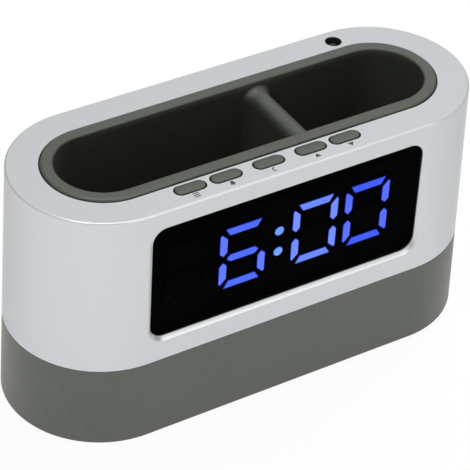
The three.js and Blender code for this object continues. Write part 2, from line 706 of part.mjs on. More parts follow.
// Base shell with its battery bay, screw towers, rim, jack cradle and buzzer ring
function tongue() {
  const root = caseRadius(SEAM) - WALL;
  const face = root - TONGUE_GAP;
  const outside = stadium(SPINE, [
    [root + TONGUE_BITE, SEAM - TONGUE_ROOT],
    [root + TONGUE_BITE, SEAM - SEAM_GAP],
    [face, SEAM - SEAM_GAP],
    [face, SEAM + TONGUE_HEIGHT],
  ]);
  const inside = stadium(SPINE, [
    [face - TONGUE_WALL, SEAM - TONGUE_ROOT - CUT],
    [face - TONGUE_WALL, SEAM + TONGUE_HEIGHT + CUT],
  ]);
  return outside.subtract(inside);
}

function centredBlock(halfX, halfY, heights) {
  return block([-halfX, halfX], [-halfY, halfY], heights);
}

function jackCradle() {
  const side = JACK_WIDTH / 2 + JACK_GAP;
  const heights = [CASE_BOTTOM + FLOOR_WALL / 2, FLOOR + CRADLE_HEIGHT];
  const wall = caseRadius(JACK_Z) - WALL / 2;
  const back = JACK_BACK - JACK_GAP;
  return joined([
    block([JACK_X - side - CRADLE_WALL, JACK_X - side], [back - CRADLE_WALL, wall], heights),
    block([JACK_X + side, JACK_X + side + CRADLE_WALL], [back - CRADLE_WALL, wall], heights),
    block([JACK_X - side, JACK_X + side], [back - CRADLE_WALL, back], heights),
  ]);
}

function buzzerRing() {
  const inner = BUZZER_RADIUS + BUZZER_GAP;
  const heights = [CASE_BOTTOM + FLOOR_WALL / 2, FLOOR + BUZZER_RING_HEIGHT];
  const bore = [FLOOR, FLOOR + BUZZER_RING_HEIGHT + CUT];
  return rod(BUZZER_X, 0, heights, inner + BUZZER_RING_WALL).subtract(rod(BUZZER_X, 0, bore, inner));
}

function soundSlots() {
  const half = SOUND_SLOT_WIDTH / 2;
  const slots = [];
  for (let at = 0; at < SOUND_SLOTS; at += 1) {
    const x = BUZZER_X + (at - (SOUND_SLOTS - 1) / 2) * SOUND_SLOT_PITCH;
    const reach = SOUND_SLOT_LENGTH / 2;
    slots.push(block([x - half, x + half], [-reach, reach], [CASE_BOTTOM - CUT, FLOOR + CUT]));
  }
  return slots;
}

function tabSlots() {
  const edge = DOOR_HALF_WIDTH + DOOR_FIT;
  const half = TAB_LENGTH / 2 + DOOR_FIT;
  const heights = [CASE_BOTTOM + TAB_LIP, CASE_BOTTOM + TAB_LIP + TAB_ROOM];
  return [-TAB_OFFSET, TAB_OFFSET].map((x) => {
    return block([x - half, x + half], [-edge - TAB_REACH - DOOR_FIT, -BAY_HALF_WIDTH + CUT], heights);
  });
}

function screwTower(x, y, top) {
  return rod(x, y, [CASE_BOTTOM + FLOOR_WALL / 2, top], TOWER_RADIUS);
}

function screwHole(x, y, seat, top, size) {
  return joined([
    rod(x, y, [CASE_BOTTOM - CUT, seat], size.head + HEAD_CLEARANCE),
    rod(x, y, [seat - CUT, top + CUT], size.shank + SCREW_CLEARANCE),
  ]);
}

function baseShell() {
  const top = SEAM - SEAM_GAP;
  const outside = stadium(SPINE, [
    [caseRadius(CASE_BOTTOM) - FOOT_EDGE, CASE_BOTTOM],
    [caseRadius(CASE_BOTTOM + FOOT_EDGE), CASE_BOTTOM + FOOT_EDGE],
    [caseRadius(top), top],
  ]);
  const hollow = stadium(SPINE, [
    [caseRadius(FLOOR) - WALL, FLOOR],
    [caseRadius(SEAM + CUT) - WALL, SEAM + CUT],
  ]);
  const caseTower = SEAM + BOSS_RISE - SEAT_GAP;
  const caseSeat = SEAM - CASE_SEAT;
  const fittings = joined([
    tongue(),
    centredBlock(BAY_HALF_LENGTH + BAY_WALL, BAY_HALF_WIDTH + BAY_WALL, [CASE_BOTTOM, BAY_TOP]),
    jackCradle(),
    buzzerRing(),
    ...CORNERS.map(([, sideX, sideY]) => screwTower(sideX * BOSS_X, sideY * BOSS_Y, caseTower)),
    ...CUP_TOWERS.map(([, x]) => screwTower(x, 0, CUP_TOWER_TOP)),
  ]);
  const doorHole = [CASE_BOTTOM - CUT, FLOOR];
  const collar = [JACK_FRONT - CUT, CASE_DEPTH / 2 + CUT];
  return cutBy(outside.subtract(hollow).add(fittings), [
    centredBlock(BAY_HALF_LENGTH, BAY_HALF_WIDTH, [CASE_BOTTOM - CUT, BAY_CEILING]),
    centredBlock(DOOR_HALF_LENGTH + DOOR_FIT, DOOR_HALF_WIDTH + DOOR_FIT, doorHole),
    ...tabSlots(),
    ...soundSlots(),
    ...CORNERS.map(([, sideX, sideY]) => {
      return screwHole(sideX * BOSS_X, sideY * BOSS_Y, caseSeat, caseTower, CASE_SCREW);
    }),
    ...CUP_TOWERS.map(([, x]) => screwHole(x, 0, CUP_SCREW_SEAT, CUP_TOWER_TOP, CUP_SCREW)),
    ...CORNERS.map(([, sideX, sideY]) => {
      const heights = [CASE_BOTTOM - CUT, CASE_BOTTOM + FOOT_SINK];
      return rod(sideX * FOOT_X, sideY * FOOT_Y, heights, FOOT_RADIUS + FOOT_GAP);
    }),
    rodAlongY(JACK_X, collar, JACK_Z, JACK_COLLAR + JACK_GAP),
  ]);
}

// Front panel: window, reflector, light guides, main board and chip
function displayLens() {
  const shape = (extra, corner) => {
    return roundedRectangle(WINDOW_LENGTH + 2 * extra, WINDOW_HEIGHT + 2 * extra, corner);
  };
  const inside = shape(-LENS_FIT, WINDOW_CORNER);
  const sides = loft([ringOf(inside, -LENS_BACK), uprightRing(inside, BEZEL_DEPTH)]);
  const pad = stoodUp(sides, 0, WINDOW_MIDDLE);
  const rim = shape(LENS_FLANGE, WINDOW_CORNER);
  const flange = panelPlate(rim, [LENS_SHOULDER, LENS_BACK], 0, WINDOW_MIDDLE);
  return pad.add(flange);
}

function outlineShape(points) {
  return new THREE.Shape(points.map(([x, y]) => new THREE.Vector2(x, y)));
}

// Outlines of the seven bars of a digit about its middle, each grown by a margin
function barOutlines(grow) {
  const right = DIGIT_WIDTH / 2 + grow;
  const top = DIGIT_HEIGHT / 2 + grow;
  const width = BAR_WIDTH + 2 * grow;
  const gap = BAR_GAP - Math.SQRT2 * grow;
  const upright = [
    [right, top - gap - 2 * BAR_CLIP],
    [right - BAR_CLIP, top - gap - BAR_CLIP],
    [right - width, top - width - gap],
    [right - width, gap + width / 2],
    [right - width / 2, gap],
    [right, gap + width / 2],
  ];
  const level = [
    [right - gap - BAR_CLIP, top],
    [gap + BAR_CLIP - right, top],
    [width + gap / 2 - right, top - width],
    [right - width - gap / 2, top - width],
  ];
  const tip = right - width / 2 - gap;
  const middle = [
    [tip, 0],
    [tip - width / 2, width / 2],
    [width / 2 - tip, width / 2],
    [-tip, 0],
    [width / 2 - tip, -width / 2],
    [tip - width / 2, -width / 2],
  ];
  const mirrored = (points, signX, signY) => points.map(([x, y]) => [signX * x, signY * y]);
  const uprights = [[1, 1], [1, -1], [-1, 1], [-1, -1]].map(([x, y]) => mirrored(upright, x, y));
  return [...uprights, level, mirrored(level, 1, -1), middle];
}

function digitBars(grow, depths) {
  return joined(barOutlines(grow).map((points) => panelPlate(outlineShape(points), depths, 0, 0)));
}

function colonDots(grow, depths) {
  return joined([-1, 1].map((side) => {
    return panelRod(0, side * COLON_SPREAD / 2, depths, COLON_DIAMETER / 2 + grow);
  }));
}

function guideSlab(grow, width, height) {
  const halfX = width / 2 + GUIDE_MARGIN + grow;
  const halfZ = height / 2 + GUIDE_MARGIN + grow;
  const back = grow > 0 ? REFLECTOR_BACK + CUT : REFLECTOR_BACK;
  return block([-halfX, halfX], [REFLECTOR_BACK - GUIDE_SLAB - grow, back], [-halfZ, halfZ]);
}

// A light guide, or with a margin the hollow that takes it; both stand at the middle of the display
function digitGuide(grow) {
  const front = grow > 0 ? REFLECTOR_FRONT - CUT : REFLECTOR_FRONT;
  const bars = digitBars(grow, [front, REFLECTOR_BACK - GUIDE_SLAB / 2]);
  return bars.add(guideSlab(grow, DIGIT_WIDTH, DIGIT_HEIGHT));
}

function colonGuide(grow) {
  const front = grow > 0 ? REFLECTOR_FRONT - CUT : REFLECTOR_FRONT;
  const dots = colonDots(grow, [front, REFLECTOR_BACK - GUIDE_SLAB / 2]);
  return dots.add(guideSlab(grow, COLON_DIAMETER, COLON_SPREAD + COLON_DIAMETER));
}

function reflector() {
  const halfX = DIGIT_FROM_COLON + DIGIT_PITCH + DIGIT_WIDTH / 2 + REFLECTOR_MARGIN;
  const halfZ = DIGIT_HEIGHT / 2 + REFLECTOR_MARGIN;
  const body = block([-halfX, halfX], [REFLECTOR_FRONT, REFLECTOR_BACK], [-halfZ, halfZ]);
  const hollow = digitGuide(GUIDE_FIT);
  const hollows = DIGITS.map(([, x]) => hollow.translate(x, 0, 0));
  return cutBy(body, [...hollows, colonGuide(GUIDE_FIT)]);
}

function mainBoard() {
  const halfX = POST_X + BOARD_MARGIN;
  const plate = block([-halfX, halfX], [BOARD_FRONT, BOARD_BACK], [BOARD_FOOT, BOARD_HEAD]);
  const depths = [BOARD_FRONT - CUT, BOARD_BACK + CUT];
  const holes = POST_HEIGHTS.flatMap(([, height]) => {
    return [-1, 1].map((side) => {
      return panelRod(side * POST_X, height, depths, BOARD_SCREW.shank + SCREW_CLEARANCE);
    });
  });
  return cutBy(plate, holes);
}

function addFrontPanel() {
  addPiece(panel, "display_lens", displayLens(), "smoked");
  const place = (mesh, x) => mesh.position.set(DISPLAY_X + x, 0, DISPLAY_MIDDLE);
  place(addPiece(panel, "display_reflector", reflector(), "black"), 0);
  DIGITS.forEach(([name, x], at) => {
    place(addPiece(panel, name, digitGuide(0), at > 0 ? "blue" : "clear"), x);
  });
  place(addPiece(panel, "colon_guide", colonGuide(0), "blue"), 0);
  addPiece(panel, "main_board", mainBoard(), "board");
  const chipMiddle = BOARD_FOOT + CHIP_RISE;
  const chip = block(
    [CHIP_X - CHIP_LENGTH / 2, CHIP_X + CHIP_LENGTH / 2],
    [BOARD_BACK + SEAT_GAP, BOARD_BACK + SEAT_GAP + CHIP_THICKNESS],
    [chipMiddle - CHIP_WIDTH / 2, chipMiddle + CHIP_WIDTH / 2],
  );
  addPiece(panel, "clock_chip", chip, "black");
  for (const [level, height] of POST_HEIGHTS) {
    for (const [side, sign] of [["left", -1], ["right", 1]]) {
      const seat = [sign * POST_X, BOARD_BACK + SEAT_GAP, height];
      addScrew(panel, `board_screw_${level}_${side}`, BOARD_SCREW, seat, Math.PI / 2);
    }
  }
  const ribbonDepth = BOARD_BACK + PANEL_GAP;
  const ribbonTop = panelHeight(KEY_BOARD_BOTTOM, ribbonDepth) - PANEL_GAP;
  const ribbon = block(
    [RIBBON_X - RIBBON_WIDTH / 2, RIBBON_X + RIBBON_WIDTH / 2],
    [ribbonDepth, ribbonDepth + RIBBON_THICKNESS],
    [ribbonTop - RIBBON_LENGTH, ribbonTop],
  );
  addPiece(panel, "key_ribbon", ribbon, "ribbon");
}

// Buttons, switches and the key board
function buttonCap() {
  const top = CASE_TOP + BUTTON_PROUD;
  const rings = [
    ringOf(pill(BUTTON_LENGTH, BUTTON_WIDTH), CEILING - SEAT_GAP - BUTTON_FLANGE_DEPTH / 2),
    ringOf(pill(BUTTON_LENGTH, BUTTON_WIDTH), top - BUTTON_EDGE),
    ringOf(pill(BUTTON_LENGTH - 2 * BUTTON_EDGE, BUTTON_WIDTH - 2 * BUTTON_EDGE), top),
  ];
  const flangeShape = pill(BUTTON_LENGTH + 2 * BUTTON_FLANGE, BUTTON_WIDTH + 2 * BUTTON_FLANGE);
  return loft(rings).add(prism(flangeShape, [FLANGE_BOTTOM, CEILING - SEAT_GAP]));
}

function switchBody() {
  const half = SWITCH_SIZE / 2;
  const body = centredBlock(half, half, [SWITCH_TOP - SWITCH_HEIGHT, SWITCH_TOP]);
  const well = [SWITCH_TOP - PLUNGER_ROOM, SWITCH_TOP + CUT];
  return body.subtract(rod(0, 0, well, PLUNGER_RADIUS + PLUNGER_GAP));
}

function plunger() {
  return rod(0, 0, [SWITCH_TOP - PLUNGER_IN, SWITCH_TOP + PLUNGER_OUT], PLUNGER_RADIUS);
}

function keyBoard() {
  const sides = [BUTTON_Y - KEY_BOARD_FRONT, BUTTON_Y + KEY_BOARD_BACK];
  const plate = block([KEY_BOARD_LEFT, KEY_BOARD_RIGHT], sides, [KEY_BOARD_BOTTOM, KEY_BOARD_TOP]);
  const heights = [KEY_BOARD_BOTTOM - CUT, KEY_BOARD_TOP + CUT];
  return cutBy(plate, KEY_SCREWS.map(([, x]) => {
    return rod(x, BUTTON_Y, heights, BOARD_SCREW.shank + SCREW_CLEARANCE);
  }));
}

function addButtons() {
  BUTTON_NAMES.forEach((name, at) => {
    const place = (piece, behind) => piece.position.set(BUTTON_PLACES[at], BUTTON_Y + behind, 0);
    place(addPiece(clock, `${name}_button`, buttonCap(), "grey"), 0);
    place(addPiece(clock, `${name}_plunger`, plunger(), "black"), SWITCH_BACK);
    place(addPiece(clock, `${name}_switch`, switchBody(), "steel"), SWITCH_BACK);
  });
  addPiece(clock, "key_board", keyBoard(), "board");
  for (const [side, x] of KEY_SCREWS) {
    addScrew(clock, `key_board_screw_${side}`, BOARD_SCREW, [x, BUTTON_Y, KEY_BOARD_BOTTOM - SEAT_GAP], 0);
  }
}

// Light sensor on its own small board
function addSensor() {
  const radius = SENSOR_DIAMETER / 2;
  const dome = turned([
    [0, SENSOR_FOOT],
    [radius + SENSOR_FLANGE, SENSOR_FOOT],
    [radius + SENSOR_FLANGE, SENSOR_FOOT + SENSOR_FLANGE_DEPTH],
    [radius, SENSOR_FOOT + SENSOR_FLANGE_DEPTH],
    [radius, SENSOR_TOP - radius],
    [radius * Math.cos(Math.PI / 6), SENSOR_TOP - radius / 2],
    [radius / 2, SENSOR_TOP - radius * (1 - Math.cos(Math.PI / 6))],
    [0, SENSOR_TOP],
  ]);
  addPiece(clock, "light_sensor", dome, "smoked").position.set(SENSOR_X, SENSOR_Y, 0);
  const foot = SENSOR_BOARD_TOP - SMALL_BOARD;
  const plate = block(
    [SENSOR_X - SENSOR_BOARD_LEFT, SENSOR_X + SENSOR_BOARD_RIGHT],
    [SENSOR_Y - SENSOR_BOARD_FRONT, TOP_RADIUS - WALL - SENSOR_BOARD_GAP],
    [foot, SENSOR_BOARD_TOP],
  );
  const hole = rod(SENSOR_SCREW_X, SENSOR_Y, [foot - CUT, CASE_TOP], BOARD_SCREW.shank + SCREW_CLEARANCE);
  addPiece(clock, "sensor_board", plate.subtract(hole), "board");
  addScrew(clock, "sensor_board_screw", BOARD_SCREW, [SENSOR_SCREW_X, SENSOR_Y, foot - SEAT_GAP], 0);
}

// Battery bay: cells in series, contacts with coil springs, and the door
class SpringCurve extends THREE.Curve {
  getPoint(share) {
    const turn = 2 * Math.PI * SPRING_TURNS * share;
    const x = (SPRING_LENGTH - SPRING_WIRE) * share;
    return new THREE.Vector3(x, SPRING_RADIUS * Math.cos(turn), SPRING_RADIUS * Math.sin(turn));
  }
}

function tube(curve, radius, sides, steps) {
  const points = [];
  for (let at = 0; at < sides; at += 1) {
    const turn = 2 * Math.PI * at / sides;
    points.push(new THREE.Vector2(radius * Math.cos(turn), radius * Math.sin(turn)));
  }
  return solidOf(new THREE.ExtrudeGeometry(new THREE.Shape(points), { steps, extrudePath: curve }));
}

function cellRow(at) {
  return (at - (CELL_COUNT - 1) / 2) * CELL_PITCH;
}

// A contact at the left end of the bay, over rows first to last, with a spring on some of them
function contact(first, last, springRows) {
  const half = CELL_DIAMETER / 2 - CONTACT_MARGIN;
  const foot = CELL_Z - CONTACT_HEIGHT / 2;
  const wall = SEAT_GAP - BAY_HALF_LENGTH;
  const face = wall + CONTACT_THICKNESS;
  const rows = [cellRow(first) - half, cellRow(last) + half];
  const plate = block([wall, face], rows, [foot, foot + CONTACT_HEIGHT]);
  const spring = tube(new SpringCurve(), SPRING_WIRE, SPRING_SIDES, SPRING_TURNS * SPRING_STEPS);
  return joined([plate, ...springRows.map((row) => spring.translate(face, cellRow(row), CELL_Z))]);
}

function cellSolid() {
  const radius = CELL_DIAMETER / 2;
  const shoulder = CELL_LENGTH - CELL_NUB;
  return turned([
    [0, 0],
    [radius - CELL_EDGE, 0],
    [radius, CELL_EDGE],
    [radius, shoulder - CELL_EDGE],
    [radius - CELL_EDGE, shoulder],
    [CELL_NUB_RADIUS, shoulder],
    [CELL_NUB_RADIUS, CELL_LENGTH],
    [0, CELL_LENGTH],
  ]);
}

function addBattery() {
  const negative = BAY_HALF_LENGTH - SEAT_GAP - CONTACT_THICKNESS - SPRING_LENGTH - SEAT_GAP;
  for (let at = 0; at < CELL_COUNT; at += 1) {
    const facing = at % 2 === 0 ? 1 : -1;
    const mesh = addPiece(clock, `battery_cell_${at + 1}`, cellSolid(), "cell");
    mesh.rotation.y = facing * Math.PI / 2;
    mesh.position.set(-facing * negative, cellRow(at), CELL_Z);
  }
  const turnedRound = (solid) => solid.rotate(0, 0, 180);
  addPiece(clock, "battery_contact_negative", contact(2, 2, [2]), "nickel");
  addPiece(clock, "battery_bridge_left", contact(0, 1, [0]), "nickel");
  addPiece(clock, "battery_bridge_right", turnedRound(contact(0, 1, [1])), "nickel");
  addPiece(clock, "battery_contact_positive", turnedRound(contact(2, 2, [])), "nickel");
}

function batteryDoor() {
  const heights = [CASE_BOTTOM, CASE_BOTTOM + DOOR_THICKNESS];
  const plate = prism(roundedRectangle(2 * DOOR_HALF_LENGTH, 2 * DOOR_HALF_WIDTH, DOOR_CORNER), heights);
  const tabHeights = [heights[1] - TAB_THICKNESS, heights[1]];
  const tabs = [-TAB_OFFSET, TAB_OFFSET].map((x) => {
    const sides = [-DOOR_HALF_WIDTH - DOOR_FIT - TAB_REACH, -DOOR_HALF_WIDTH + DOOR_LEDGE];
    return block([x - TAB_LENGTH / 2, x + TAB_LENGTH / 2], sides, tabHeights);
  });
  const through = [CASE_BOTTOM - CUT, heights[1] + CUT];
  const latch = LATCH_WIDTH / 2;
  const slotSides = [DOOR_HALF_WIDTH - LATCH_LENGTH, DOOR_HALF_WIDTH + CUT];
  const slots = [-1, 1].map((side) => {
    const middle = side * (latch + LATCH_SLOT / 2);
    return block([middle - LATCH_SLOT / 2, middle + LATCH_SLOT / 2], slotSides, through);
  });
  const grips = [];
  for (let at = 0; at < GRIP_COUNT; at += 1) {
    const y = DOOR_HALF_WIDTH - DOOR_LEDGE - at * GRIP_PITCH;
    const inset = latch - LATCH_SLOT;
    grips.push(block([-inset, inset], [y - GRIP_WIDTH, y], [CASE_BOTTOM - CUT, CASE_BOTTOM + GRIP_DEPTH]));
  }
  return cutBy(joined([plate, ...tabs]), [...slots, ...grips]);
}

// Power inlet, buzzer, feet, case screws and the lead to the main board
function powerJack() {
  const body = block(
    [-JACK_WIDTH / 2, JACK_WIDTH / 2],
    [JACK_BACK, JACK_FRONT],
    [JACK_Z - JACK_HEIGHT / 2, JACK_Z + JACK_HEIGHT / 2],
  );
  const collar = rodAlongY(0, [JACK_FRONT - CUT, JACK_MOUTH], JACK_Z, JACK_COLLAR);
  return cutBy(body.add(collar), [
    rodAlongY(0, [JACK_BORE_END, JACK_MOUTH + CUT], JACK_Z, JACK_BORE),
    rodAlongY(0, [JACK_BACK - CUT, JACK_BORE_END + CUT], JACK_Z, JACK_PIN + SEAT_GAP),
  ]);
}

function buzzer() {
  const foot = FLOOR + SEAT_GAP;
  const port = BUZZER_HEIGHT / 2;
  return turned([
    [0, foot + port],
    [BUZZER_PORT, foot + port],
    [BUZZER_PORT, foot],
    [BUZZER_RADIUS, foot],
    [BUZZER_RADIUS, foot + BUZZER_HEIGHT],
    [0, foot + BUZZER_HEIGHT],
  ]);
}

function foot() {
  const top = CASE_BOTTOM + FOOT_SINK - SEAT_GAP;
  return turned([
    [0, 0],
    [FOOT_RADIUS - FOOT_ROUND, 0],
    [FOOT_RADIUS, FOOT_ROUND],
    [FOOT_RADIUS, top],
    [0, top],
  ]);
}

function batteryLead() {
  const bayEnd = BAY_HALF_LENGTH + BAY_WALL + LEAD_END_GAP;
  const start = new THREE.Vector3(bayEnd, -cellRow(CELL_COUNT - 1), CELL_Z);
  const end = new THREE.Vector3(LEAD_ENTRY_X, (BOARD_FRONT + BOARD_BACK) / 2, BOARD_FOOT - LEAD_END_GAP);
  end.applyMatrix4(panel.matrix);
  const route = new THREE.CatmullRomCurve3([
    start,
    new THREE.Vector3(start.x + LEAD_BEND, start.y, start.z),
    new THREE.Vector3(end.x, end.y, start.z + LEAD_BEND),
    new THREE.Vector3(end.x, end.y, end.z - LEAD_BEND),
    end,
  ]);
  return tube(route, LEAD_RADIUS, LEAD_SIDES, LEAD_STEPS);
}

addPiece(clock, "upper_shell", upperShell(), "silver");
addPiece(clock, "base_shell", baseShell(), "grey");
addPiece(clock, "pen_cup", penCup(), "grey");
addFrontPanel();
addButtons();
addSensor();
addBattery();
addPiece(clock, "battery_door", batteryDoor(), "grey");
addPiece(clock, "power_jack", powerJack(), "black").position.set(JACK_X, 0, 0);
const pinEnds = [JACK_BACK, JACK_MOUTH - JACK_PIN_SHORT];
addPiece(clock, "power_jack_pin", rodAlongY(JACK_X, pinEnds, JACK_Z, JACK_PIN), "nickel");
addPiece(clock, "buzzer", buzzer(), "black").position.set(BUZZER_X, 0, 0);
addPiece(clock, "battery_lead", batteryLead(), "wire");
for (const [corner, sideX, sideY] of CORNERS) {
  addPiece(clock, `foot_${corner}`, foot(), "rubber").position.set(sideX * FOOT_X, sideY * FOOT_Y, 0);
  const seat = [sideX * BOSS_X, sideY * BOSS_Y, SEAM - CASE_SEAT - SEAT_GAP];
  addScrew(clock, `case_screw_${corner}`, CASE_SCREW, seat, 0);
}
for (const [side, x] of CUP_TOWERS) {
  addScrew(clock, `cup_screw_${side}`, CUP_SCREW, [x, 0, CUP_SCREW_SEAT - SEAT_GAP], 0);
}

export default clock;
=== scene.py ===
import json
from collections import namedtuple
from math import atan2, cos, hypot, pi, radians, sin, tan
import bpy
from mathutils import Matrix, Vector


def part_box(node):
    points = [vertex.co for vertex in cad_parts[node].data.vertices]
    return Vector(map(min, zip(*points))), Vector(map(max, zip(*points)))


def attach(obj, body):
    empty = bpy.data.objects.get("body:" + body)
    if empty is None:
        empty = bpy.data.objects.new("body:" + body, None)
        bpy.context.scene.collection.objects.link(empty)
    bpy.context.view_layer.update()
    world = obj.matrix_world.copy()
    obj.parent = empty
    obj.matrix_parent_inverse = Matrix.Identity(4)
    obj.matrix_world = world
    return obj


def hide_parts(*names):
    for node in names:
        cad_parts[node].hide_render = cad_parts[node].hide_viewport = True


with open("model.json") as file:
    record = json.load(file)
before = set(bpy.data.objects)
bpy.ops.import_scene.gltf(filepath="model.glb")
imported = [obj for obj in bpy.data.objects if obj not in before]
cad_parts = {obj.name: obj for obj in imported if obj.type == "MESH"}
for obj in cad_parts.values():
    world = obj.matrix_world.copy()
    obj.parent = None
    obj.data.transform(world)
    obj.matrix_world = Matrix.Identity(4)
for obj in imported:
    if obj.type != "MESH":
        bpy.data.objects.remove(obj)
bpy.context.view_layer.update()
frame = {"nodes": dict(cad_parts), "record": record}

from types import SimpleNamespace

import bmesh
import bpy
from bpy.props import FloatProperty, FloatVectorProperty, PointerProperty
from bpy.types import Operator, Panel, PropertyGroup
from mathutils import Matrix, Vector

bl_info = {
    "name": "Desk Clock With Pen Cup",
    "version": (1, 0, 0),
    "blender": (4, 5, 0),
    "location": "3D View > Sidebar > Desk Clock",
    "description": "Builds a desk alarm clock with a divided pen cup around its packed frame",
    "category": "Add Mesh",
}

MM = 0.001
ARC_STEPS = 48  # facets in each half-round end of the case
CORNER_STEPS = 12  # facets in a rounded corner
EDGE_STEPS = 6  # facets across a rounded edge
TURN_STEPS = 48  # facets round a turned piece
CUT = 1.0  # how far a cut runs past the face that it opens, in millimetres
SUNK = 1.0  # how far a joined solid starts inside the one that it stands on, in millimetres
ROUND_END = 0.999  # a round end's share of its bar's width; the rest stays straight
TAB_PLACES = (-16, 16)  # tabs of the battery door along its hinge, in millimetres
SHARP_ANGLE = radians(38)
KEYS = ("mode", "alarm", "snooze", "up", "down")
CORNERS = ("front_left", "front_right", "back_left", "back_right")
CASE = "case"
Box = namedtuple("Box", "low high middle")


# Sizes and colours that a user would change
def length(name, description, default):
    """A size, in metres."""
    kind = {"subtype": "DISTANCE", "unit": "LENGTH", "min": 0, "precision": 5}
    return FloatProperty(name=name, description=description, default=default, **kind)


def colour(name, description, default):
    """A colour, as linear red, green and blue."""
    kind = {"subtype": "COLOR", "size": 3, "min": 0, "max": 1}
    return FloatVectorProperty(name=name, description=description, default=default, **kind)


class CaseSizes(PropertyGroup):
    """Sizes of the two shells of the case"""

    case_length: length("Case length", "Length at the foot", 0.165)
    case_depth: length("Case depth", "Depth at the foot", 0.0636)
    case_bottom: length("Case bottom", "Height of the foot", 0.001)
    case_top: length("Case top", "Height of the top face", 0.0872)
    taper: length("Taper", "Lean of each side over the height", 0.0021)
    seam: length("Seam", "Height of the parting line", 0.0302)
    seam_gap: length("Seam gap", "Gap at the parting line", 0.0001)
    wall: length("Wall", "Thickness of the walls", 0.0022)
    top_edge: length("Top edge", "Rounding round the top face", 0.0007)
    foot_edge: length("Foot edge", "Rounding round the foot", 0.0003)
    fine_edge: length("Fine edge", "Broken edge of seams and holes", 0.00014)


class CupSizes(PropertyGroup):
    """Sizes of the pen cup"""

    lip_radius: length("Lip radius", "Outer radius of the lip's ends", 0.0192)
    spine: length("Half spine", "Half the straight run between the ends", 0.05045)
    lip_width: length("Lip width", "Width of the lip", 0.00405)
    lip_proud: length("Lip proud", "Lip above the top face", 0.0009)
    lip_seat: length("Lip seat", "Depth of the step that takes the lip", 0.0006)
    lip_gap: length("Lip gap", "Gap round the lip", 0.0003)
    lip_round: length("Lip rounding", "Rounding of the lip's outer edge", 0.0009)
    mouth_round: length("Mouth rounding", "Rounding of the lip's inner edge", 0.0008)
    wall: length("Cup wall", "Thickness of the cup", 0.0018)
    taper: length("Cup taper", "Lean of each wall from mouth to floor", 0.001)
    bottom: length("Cup bottom", "Height of the underside", 0.0166)
    floor: length("Cup floor", "Thickness of the floor", 0.002)
    floor_round: length("Floor rounding", "Rounding between floor and walls", 0.003)
    divider_x: length("Divider place", "Middle of the divider along the cup", 0.0144)
    divider_width: length("Divider width", "Thickness of the divider", 0.007)
    divider_drop: length("Divider drop", "Divider's top below the lip", 0.0034)
    divider_fillet: length("Divider fillet", "Flare at the divider's ends", 0.0038)


class WindowSizes(PropertyGroup):
    """Sizes of the front window and its display"""

    length: length("Window length", "Length of the window", 0.0988)
    height: length("Window height", "Height of the window", 0.0423)
    corner: length("Window corner", "Radius of the corners", 0.005)
    drop: length("Window drop", "Window below the top face", 0.0065)
    bezel_width: length("Bezel width", "Width of the sloping edge", 0.0017)
    bezel_depth: length("Bezel depth", "Depth of the sloping edge at mid height", 0.0009)
    lens_fit: length("Lens fit", "Gap round the window", 0.00015)
    lens_back: length("Lens back", "Back of the window behind the front face", 0.00245)
    lens_edge: length("Lens edge", "Broken edge of the window", 0.0002)
    digit_width: length("Digit width", "Width of a digit", 0.0171)
    digit_height: length("Digit height", "Height of a digit", 0.0238)
    bar_width: length("Bar width", "Width of a digit's bars", 0.00305)
    bar_gap: length("Bar gap", "Gap between a digit's bars", 0.001)
    bar_clip: length("Bar clip", "Clipped corner of an upright bar", 0.00075)
    bar_edge: length("Bar edge", "Dim rim of a bar", 0.00025)
    colon_dot: length("Colon dot", "Diameter of a colon dot", 0.0037)
    colon_rise: length("Colon rise", "Colon dots above and below the middle", 0.00405)


class KeySizes(PropertyGroup):
    """Sizes of the buttons and of the marks beside them"""

    length: length("Button length", "Length of a cap", 0.0103)
    width: length("Button width", "Width of a cap", 0.00395)
    gap: length("Button gap", "Gap round a cap", 0.00035)
    edge: length("Button edge", "Rounding of a cap", 0.00035)
    crown: length("Button crown", "Rise of a cap's middle", 0.00012)
    mark_drop: length("Mark drop", "Marks in front of the buttons' line", 0.0039)
    mark_size: length("Mark size", "Height of a mark", 0.0021)
    mark_lift: length("Mark lift", "Print above the top face", 0.00002)


class ClockColours(PropertyGroup):
    """Colours of the finishes"""

    silver: colour("Silver paint", "Upper shell", (0.58, 0.6, 0.612))
    grey: colour("Grey plastic", "Base, cup, buttons and door", (0.072, 0.079, 0.064))
    window: colour("Window", "Smoked window", (0.1, 0.1, 0.11))
    hour_light: colour("Hour light", "Lit bars of the hour", (0.084, 0.159, 0.95))
    colon_light: colour("Colon light", "Lit dots of the colon", (0.19, 0.36, 0.95))
    tens_light: colour("Tens light", "Lit bars of the minutes' tens", (0.155, 0.265, 0.95))
    units_light: colour("Units light", "Lit bars of the minutes' units", (0.055, 0.118, 0.94))
    pale_light: colour("Pale light", "Shade towards which upright bars lean", (0.3, 0.38, 0.97))
    rim_light: colour("Rim light", "Dim rims of the lit bars", (0.03, 0.04, 1.0))
    mark: colour("Mark", "Printed marks beside the buttons", (0.03, 0.03, 0.032))
    floor: colour("Floor", "Studio floor", (0.9, 0.9, 0.9))


GROUPS = {
    "clock_case": CaseSizes,
    "clock_cup": CupSizes,
    "clock_window": WindowSizes,
    "clock_keys": KeySizes,
    "clock_colours": ClockColours,
}


def in_millimetres(group):
    """The lengths of a property group, by name, in millimetres."""
    names = [name for name in group.bl_rna.properties.keys() if name not in ("rna_type", "name")]
    return SimpleNamespace(**{name: getattr(group, name) / MM for name in names})


def cad_box(node):
    """Lowest corner, highest corner and middle of a frame node, in millimetres."""
    low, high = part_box(node)
    return Box(low / MM, high / MM, (low + high) / (2 * MM))


